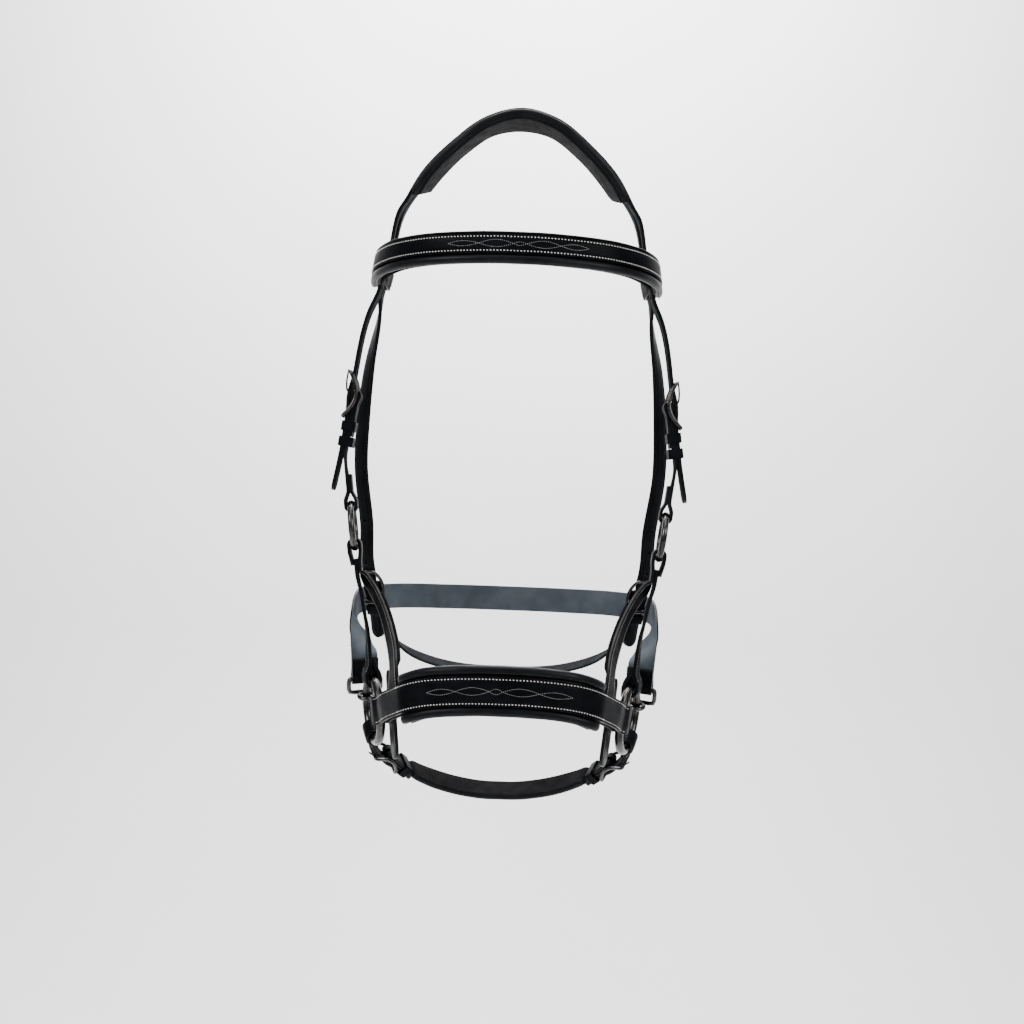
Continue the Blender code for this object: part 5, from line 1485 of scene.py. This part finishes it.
@dataclass(frozen=True)
class Branches:
    """The front and rear branches between the rings and the noseband, with their linings."""

    plan: Plan
    noseband: Noseband
    width: float = 17 * MM
    rear_width: float = 15 * MM
    leather: float = 2.8 * MM
    lining: float = 2 * MM
    stem: float = 22 * MM
    entry: float = 14 * MM
    rake: float = math.radians(16)
    back_ply: float = 17 * MM
    tip: float = 7 * MM
    lining_length: float = 70 * MM
    front_shares: tuple = ((0.22, 0.09, 0.13), (0.52, 0.28, 0.32), (0.74, 0.48, 0.51), (0.91, 0.72, 0.72))
    front_facing: tuple = ((0.99, -0.03, 0.1), (0.96, -0.17, 0), (0.93, -0.31, 0), (0.91, -0.4, 0))
    rear_shares: tuple = ((0.44, 0.3, 0.3), (0.74, 0.55, 0.54))

    @cached_property
    def lines(self) -> tuple[Path, Path]:
        """The middles of the front and rear branches, from the small ring down."""
        small, big = self.plan.small_ring, self.plan.big_ring
        fold, down, out = small.fold(-90, self.width), small.way(-90), small.axis
        stem = fold + down * self.stem
        seat, _, _, seat_out = self.noseband.line.at(self.noseband.branch)
        ahead = np.array([seat_out[1], -seat_out[0], 0])
        fall = ahead * math.sin(self.rake) - np.array([0, 0, 1]) * math.cos(self.rake)
        entry, foot = seat - fall * self.entry, seat + fall * self.entry / 2
        front = [*straight(fold, stem), *between(stem, entry, self.front_shares), *straight(foot, entry)[::-1]]
        facing = [out] * 4 + [*self.front_facing] + [seat_out] * 4
        front_path = Path(*smooth(front, facing))
        ring_fold, up = big.fold(90, self.rear_width), big.way(90)
        head = fold + down * (small.wire + SLACK + 3 * self.leather)
        rear = [*straight(head, stem), *between(stem, ring_fold, self.rear_shares)]
        rear += [ring_fold + up * self.rear_width, ring_fold]
        facing = [out] * 5 + [unit(out + big.axis), big.axis, big.axis]
        return front_path, Path(*smooth(rear, facing))

    def front_strap(self, front: Path) -> Strap:
        """The front branch, folded round the small ring."""
        ring = self.plan.small_ring
        wide, lap = ring.wire + SLACK + self.leather / 2, self.leather + SEAT
        turn = self.back_ply + self.stem / 2

        def depth(s: float) -> float:
            if s < turn:
                return eased(s, 0, wide, lap, 4 * self.leather, ring.hold(self.width))
            return eased(s, turn, lap, 0, front.length / 2)

        _, along, _, out = front.at(0)
        path = join(
            front.run(self.back_ply, 0, depth),
            backwards(bend(front.points[0], along, -out, wide)),
            front.run(0, front.length, lambda s: -depth(s) - 1e-12),
        )
        return Strap(path, self.width, self.leather, start_tip=self.tip)

    def rear_strap(self, rear: Path) -> Strap:
        """The rear branch, sewn into the front one's stem and folded round the big ring."""
        ring = self.plan.big_ring
        wide, lap = ring.wire + SLACK + self.leather / 2, (self.leather + SEAT) / 2

        def depth(s: float) -> float:
            if s < rear.length / 3:
                return 0
            return eased(s, rear.length, wide, lap, 4 * self.leather, ring.hold(self.rear_width))

        def outer(s: float) -> float:
            if s < rear.length / 2:
                return eased(s, rear.length / 2, lap, 0, rear.length / 4)
            return depth(s)

        _, along, _, out = rear.at(rear.length)
        path = join(
            rear.run(0, rear.length, outer),
            bend(rear.points[-1], -along, out, wide),
            rear.run(rear.length, rear.length - self.back_ply, lambda s: -depth(s)),
        )
        return Strap(path, self.rear_width, self.leather)

    def build(self, shop: Workshop) -> None:
        """Makes both sides."""
        front, rear = self.lines
        branch, back = self.front_strap(front), self.rear_strap(rear)
        end = branch.path.length - self.noseband.width - 2 * Keeper.LENGTH
        start = end - self.lining_length
        seat = self.leather / 2 + SEAT + self.lining / 2
        lining = Strap(branch.path.beside(start, end, seat), self.width, self.lining, inset=0)
        main = branch.path.length - front.length
        rows, rear_rows = Shape(), Shape()
        for way in (-1, 1):
            aside = way * (self.width / 2 - branch.inset)
            rows.take(FINE_ROW.lay(branch.path, lambda s, a=aside: a, lambda s, a=aside: -self.leather / 2,
                                   main + self.stem, branch.path.length - self.noseband.width * 0.8))
            rows.take(branch.stitches(FINE_ROW, aside, self.tip, main - 8 * MM))
            aside = way * (self.rear_width / 2 - back.inset)
            rear_rows.take(back.stitches(FINE_ROW, aside, self.stem * 0.6, rear.length - 6 * MM))
        for side in Side:
            word = side.word
            shop.piece(f"front_branch_hide_{word}", branch.shape().on(side), (STRAP_GRAIN, STRAP_GRAIN, STRAP_EDGE),
                       "strap_leather", node=f"front_branch_{word}")
            shop.piece(f"front_branch_backing_{word}", lining.shape().on(side), [LINING_GRAIN], "lining_leather",
                       node=f"front_branch_lining_{word}")
            shop.piece(f"front_branch_stitching_{word}", rows.on(side), [SMOKE_THREAD], "strap_leather")
            shop.piece(f"rear_branch_hide_{word}", back.shape().on(side), HIDE, "strap_leather",
                       node=f"rear_branch_{word}")
            shop.piece(f"rear_branch_stitching_{word}", rear_rows.on(side), [SMOKE_THREAD], "strap_leather")


@dataclass(frozen=True)
class HungStrap:
    """A strap that hangs under the jaw between two buckles: its line and its folded path."""

    buckle: Buckle
    low: tuple
    shares: tuple
    facing: tuple
    width: float
    leather: float
    back_ply: float = 24 * MM
    straight_share: float = 2.1

    @cached_property
    def path(self) -> Path:
        """The half strap's middle from the turned-back ply's end to the middle of the jaw."""
        buckle = self.buckle
        stretch = buckle.half + self.straight_share * Keeper.LENGTH
        points = straight(np.array(buckle.bar), buckle.place(-stretch, 0))
        points += between(points[-1], self.low, self.shares)
        line = Path(*smooth(points, [buckle.axes[1]] * 4 + list(self.facing)))

        def depth(s: float) -> float:
            return eased(s, 0, buckle.fold, buckle.lap, 4 * self.leather)

        _, along, _, out = line.at(0)
        return join(
            line.run(self.back_ply, 0, lambda s: -depth(s)),
            backwards(bend(line.points[0], along, out, buckle.fold)),
            line.run(0, line.length, depth),
        )

    @cached_property
    def whole(self) -> Path:
        """The strap over both sides."""
        path = self.path
        return Path(path.points[::-1], path.faces[::-1]).doubled()

    def strap(self) -> Strap:
        """The strap with a slotted fold at each end."""
        low, high = self.buckle.slot_span(self.path)
        half, length = self.path.length, self.whole.length
        spans = ((low, high), (length - high, length - low))
        assert abs(length - 2 * half) < MM
        return Strap(self.whole, self.width, self.leather, hole_width=self.buckle.hole_width, holes=spans)


@dataclass(frozen=True)
class ChinStrap:
    """The chin strap and its pad, and a billet from each big ring with its buckle and keeper."""

    plan: Plan
    leather: float = 2.4 * MM
    pad_width: float = 22 * MM
    pad: float = 4.5 * MM
    tail: float = 36 * MM
    tip: float = 7 * MM
    low: tuple = (0, 62 * MM, -556 * MM)
    shares: tuple = ((0.25, 0.58, 0.5), (0.6, 0.92, 0.88), (0.86, 1, 1), (1, 1, 1))
    facing: tuple = ((0.6, 0.3, -0.74), (0.25, 0.4, -0.88), (0.04, 0.4, -0.91), (0, 0.4, -0.91))

    def build(self, shop: Workshop) -> None:
        """Makes the strap, pad, billets, buckles and keepers."""
        plan, buckle = self.plan, self.plan.chin
        hung = HungStrap(buckle, self.low, self.shares, self.facing, plan.chin_width, self.leather)
        strap = hung.strap()
        shop.piece("chin_hide", strap.shape(), HIDE, "strap_leather", node="chin_strap")
        reach = buckle.place(-buckle.half - hung.straight_share * Keeper.LENGTH, buckle.lap)
        start = hung.path.nearest(reach)
        top = -self.leather / 2 - SEAT
        padding = Padding(hung.whole, plan.chin_width, self.pad_width / 2, self.pad_width / 2, top, self.pad,
                          start, hung.whole.length - start, proud=1.7 * MM)
        shop.piece("chin_padding", padding.shape(), PADDED, "padded_leather", node="chin_pad")
        rows = Shape()
        for way in (-1, 1):
            aside = way * (plan.chin_width / 2 - strap.inset)
            rows.take(strap.stitches(FINE_ROW, aside, start, hung.whole.length - start))
        shop.piece("chin_stitching", rows, [SMOKE_THREAD], "strap_leather")
        add_hardware(shop, "chin", buckle)
        billet = self.billet()
        for side in Side:
            shop.piece(f"chin_billet_hide_{side.word}", billet.shape().on(side), HIDE, "strap_leather",
                       node=f"chin_billet_{side.word}")

    def billet(self) -> Strap:
        """The billet, folded round the big ring and through the buckle."""
        plan, buckle = self.plan, self.plan.chin
        ring = plan.big_ring
        fold = ring.fold(plan.chin_fold, plan.chin_width)
        wide, lap = ring.wire + SLACK + self.leather / 2, (self.leather + SEAT) / 2
        points = straight(fold, fold + plan.chin_way * plan.chin_back_ply)
        points += buckle.billet_points(buckle.half + buckle.rim, buckle.half + 1.8 * Keeper.LENGTH)
        points.append(buckle.place(-self.tail, buckle.under + self.leather / 2))
        line = Path(*smooth(points, [plan.chin_face] * 4 + [buckle.axes[1]] * (len(points) - 4)))

        def depth(s: float) -> float:
            if s < plan.chin_back_ply:
                return eased(s, 0, wide, lap, 3 * self.leather, ring.hold(plan.chin_width))
            return eased(s, plan.chin_back_ply, lap, 0, 2 * self.leather)

        _, along, _, face = line.at(0)
        path = join(
            line.run(plan.chin_back_ply, 0, lambda s: -depth(s)),
            backwards(bend(line.points[0], along, face, wide)),
            line.run(0, line.length, depth),
        )
        return Strap(path, plan.chin_width, self.leather, end_tip=self.tip, hole_width=buckle.hole_width,
                     holes=(buckle.hole_span(path),))


@dataclass(frozen=True)
class ThroatStrap:
    """The throat strap with a buckle and keeper at each end."""

    plan: Plan
    leather: float = 2.2 * MM
    low: tuple = (0, 112 * MM, -456 * MM)
    shares: tuple = ((0.16, 0.3, 0.5), (0.5, 0.72, 0.88), (0.82, 0.97, 1), (1, 1, 1))
    facing: tuple = ((0.8, -0.1, -0.55), (0.5, 0.2, -0.84), (0.12, 0.34, -0.93), (0, 0.35, -0.94))

    def build(self, shop: Workshop) -> None:
        """Makes the strap, buckles and keepers."""
        buckle = self.plan.throat
        hung = HungStrap(buckle, self.low, self.shares, self.facing, self.plan.billet_width, self.leather)
        shop.piece("throat_hide", hung.strap().shape(), HIDE, "strap_leather", node="throat_strap")
        add_hardware(shop, "throat", buckle)


@dataclass(frozen=True)
class JawStrap:
    """The jaw strap behind the big rings, held by a link round each ring."""

    plan: Plan
    width: float = 22 * MM
    leather: float = 2.6 * MM
    back_ply: float = 17 * MM
    link_angle: float = 163
    link_radius: float = 6.2 * MM
    link_wire: float = 1.9 * MM
    clear: float = 14.4 * MM
    behind: float = 137 * MM
    drop: float = 394 * MM
    shares: tuple = ((0.946, 0.14, 0.44), (0.991, 0.27, 0.72), (1, 0.4, 0.88), (0.964, 0.6, 0.96),
                     (0.766, 0.82, 1), (0.432, 0.96, 1), (0.135, 1, 1), (0, 1, 1))
    facing: tuple = ((0.6, 0.75, 0.05), (0.95, 0.3, 0), (1, 0.08, 0), (0.95, 0.35, 0), (0.7, 0.7, 0),
                     (0.3, 0.95, 0), (0.03, 1, 0), (0, 1, 0))

    def build(self, shop: Workshop) -> None:
        """Makes the strap and both links."""
        ring, wire = self.plan.big_ring, self.link_wire
        back, aside = ring.way(self.link_angle), ring.axis
        hold = np.array(ring.centre) + back * ring.radius
        rise = unit(np.cross(aside, back))
        rise = rise * math.copysign(1, rise[2])
        turns = np.linspace(0, 2 * math.pi, 40, endpoint=False)
        eye = [hold + self.link_radius * (back * math.cos(a) + aside * math.sin(a)) for a in turns]
        half, tall = self.width / 2 + SLACK + wire, 2 * self.leather + 4 * wire
        foot = hold + back * (self.link_radius + wire / 2) + rise * wire / 2
        loop = [(-0.7, 0), (0, 0), (0.7, 0), (0.94, 0.06), (1, 0.25), (1, 0.75), (0.96, 0.93), (0.85, 1), (0, 1),
                (-0.85, 1), (-0.96, 0.93), (-1, 0.75), (-1, 0.25), (-0.94, 0.06)]
        bow = [foot + aside * half * a + rise * tall * b for a, b in loop]
        link = tube(eye, rise, wire, 14, closed=True).take(tube(bow, back, wire, 14, closed=True))
        bar, wide = foot + rise * tall, wire + SLACK + self.leather / 2
        points = straight(bar, bar + rise * self.back_ply)
        _, near, low = points[-1]
        spread = self.plan.throat.bar[0] + self.clear
        for wide_share, back_share, rise_share in self.shares:
            far = near + (self.behind - near) * back_share
            points.append(np.array([spread * wide_share, far, low - (self.drop + low) * rise_share]))
        line = Path(*smooth(points, [back] * 4 + [*self.facing]))
        lap = (self.leather + SEAT) / 2

        def depth(s: float) -> float:
            return eased(s, 0, wide, lap, 4 * self.leather)

        _, along, _, out = line.at(0)
        path = join(
            line.run(self.back_ply, 0, lambda s: -depth(s)),
            backwards(bend(line.points[0], along, out, wide)),
            line.run(0, line.length, depth),
        )
        strap = Strap(Path(path.points[::-1], path.faces[::-1]).doubled(), self.width, self.leather)
        # The inner face takes the blue-grey flesh finish, whose lightness is partly painted sheen.
        shop.piece("jaw_hide", strap.shape(), (STRAP_GRAIN, STRAP_FLESH_AND_SHEEN, STRAP_EDGE), "strap_leather",
                   node="jaw_strap")
        for side in Side:
            shop.piece(f"jaw_link_steel_{side.word}", link.on(side), [SHADED_STEEL], "polished_steel",
                       node=f"jaw_link_{side.word}")


@dataclass(frozen=True)
class Studio:
    """The pale floor that sweeps up behind, soft lamps and the camera."""

    floor: float = -1.25
    depth: float = 1.7
    width: float = 7.0
    place: tuple = (0.003, -1.160, -0.315)
    roll: float = math.radians(-2.15)
    view: float = 2 * math.atan(379 / 1050)
    pale: float = 0.9

    def build(self) -> None:
        """Makes the whole studio."""
        self.add_floor()
        self.add_lamps()
        self.add_camera()

    def add_floor(self) -> None:
        """A wide floor with a curved back."""
        radius = 0.7
        profile = [(-4.0, self.floor), (self.depth - radius, self.floor)]
        profile += [(self.depth - radius + radius * math.sin(a), self.floor + radius - radius * math.cos(a))
                    for a in np.linspace(0.1, math.pi / 2, 16)]
        profile.append((self.depth, self.floor + 4.5))
        points = [Vector((x, y, z)) for y, z in profile for x in (-self.width / 2, self.width / 2)]
        faces = [(2 * k, 2 * k + 1, 2 * k + 3, 2 * k + 2) for k in range(len(profile) - 1)]
        mesh = bpy.data.meshes.new("studio_floor")
        mesh.from_pydata(points, [], faces)
        mesh.shade_smooth()
        graph = Graph("pale_floor")
        cloud = graph.texture("ShaderNodeTexNoise", 3, Detail=2)
        graph.shades(cloud.outputs["Fac"], (self.pale,) * 3, (self.pale + 0.02,) * 3)
        graph.shader.inputs["Roughness"].default_value = 0.9
        mesh.materials.append(graph.material)
        floor = bpy.data.objects.new("studio_floor", mesh)
        bpy.context.scene.collection.objects.link(floor)

    def add_lamps(self) -> None:
        """Soft boxes at both sides and above, and a pale surround."""
        for name, place, size, power in (
            ("key_lamp", (-1.4, -1.4, 0.7), 0.9, 27),
            ("fill_lamp", (1.5, -1.4, 0.4), 0.9, 21),
            ("top_lamp", (0, -0.5, 1.5), 1.2, 22),
            ("back_lamp", (0, 0.7, 1.15), 1.3, 104),
        ):
            lamp = bpy.data.lights.new(name, "AREA")
            lamp.shape, lamp.size, lamp.energy = "SQUARE", size, power
            thing = bpy.data.objects.new(name, lamp)
            thing.location = place
            goal = Vector((0, 1.7, -0.1)) if name == "back_lamp" else Vector((0, 0, -0.3))
            thing.rotation_euler = (goal - Vector(place)).to_track_quat("-Z", "Y").to_euler()
            bpy.context.scene.collection.objects.link(thing)
        world = bpy.data.worlds.new("studio_air")
        bpy.context.scene.world = world
        world.use_nodes = True
        shade = world.node_tree.nodes["Background"]
        shade.inputs["Color"].default_value = (0.93, 0.96, 1, 1)
        shade.inputs["Strength"].default_value = 0.34

    def add_camera(self) -> None:
        """The camera at the photograph's angle."""
        lens = bpy.data.cameras.new("camera")
        lens.angle = self.view
        camera = bpy.data.objects.new("camera", lens)
        level = Matrix.Rotation(math.pi / 2, 4, "X")
        camera.matrix_world = Matrix.Translation(self.place) @ Matrix.Rotation(self.roll, 4, "Y") @ level
        bpy.context.scene.collection.objects.link(camera)
        bpy.context.scene.camera = camera


def write_sizes() -> None:
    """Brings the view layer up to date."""
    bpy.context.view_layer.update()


def main() -> None:
    """Builds the bridle and its studio."""
    logging.basicConfig(level=logging.INFO, format="%(message)s")
    shop = Workshop()
    browband, noseband = Browband(PLAN), Noseband(PLAN)
    Studio().build()
    Headpiece(PLAN).build(shop, browband)
    browband.build(shop)
    noseband.build(shop)
    Cheeks(PLAN).build(shop)
    Branches(PLAN, noseband).build(shop)
    ChinStrap(PLAN).build(shop)
    ThroatStrap(PLAN).build(shop)
    JawStrap(PLAN).build(shop)
    write_sizes()


if __name__ == "__main__":
    main()
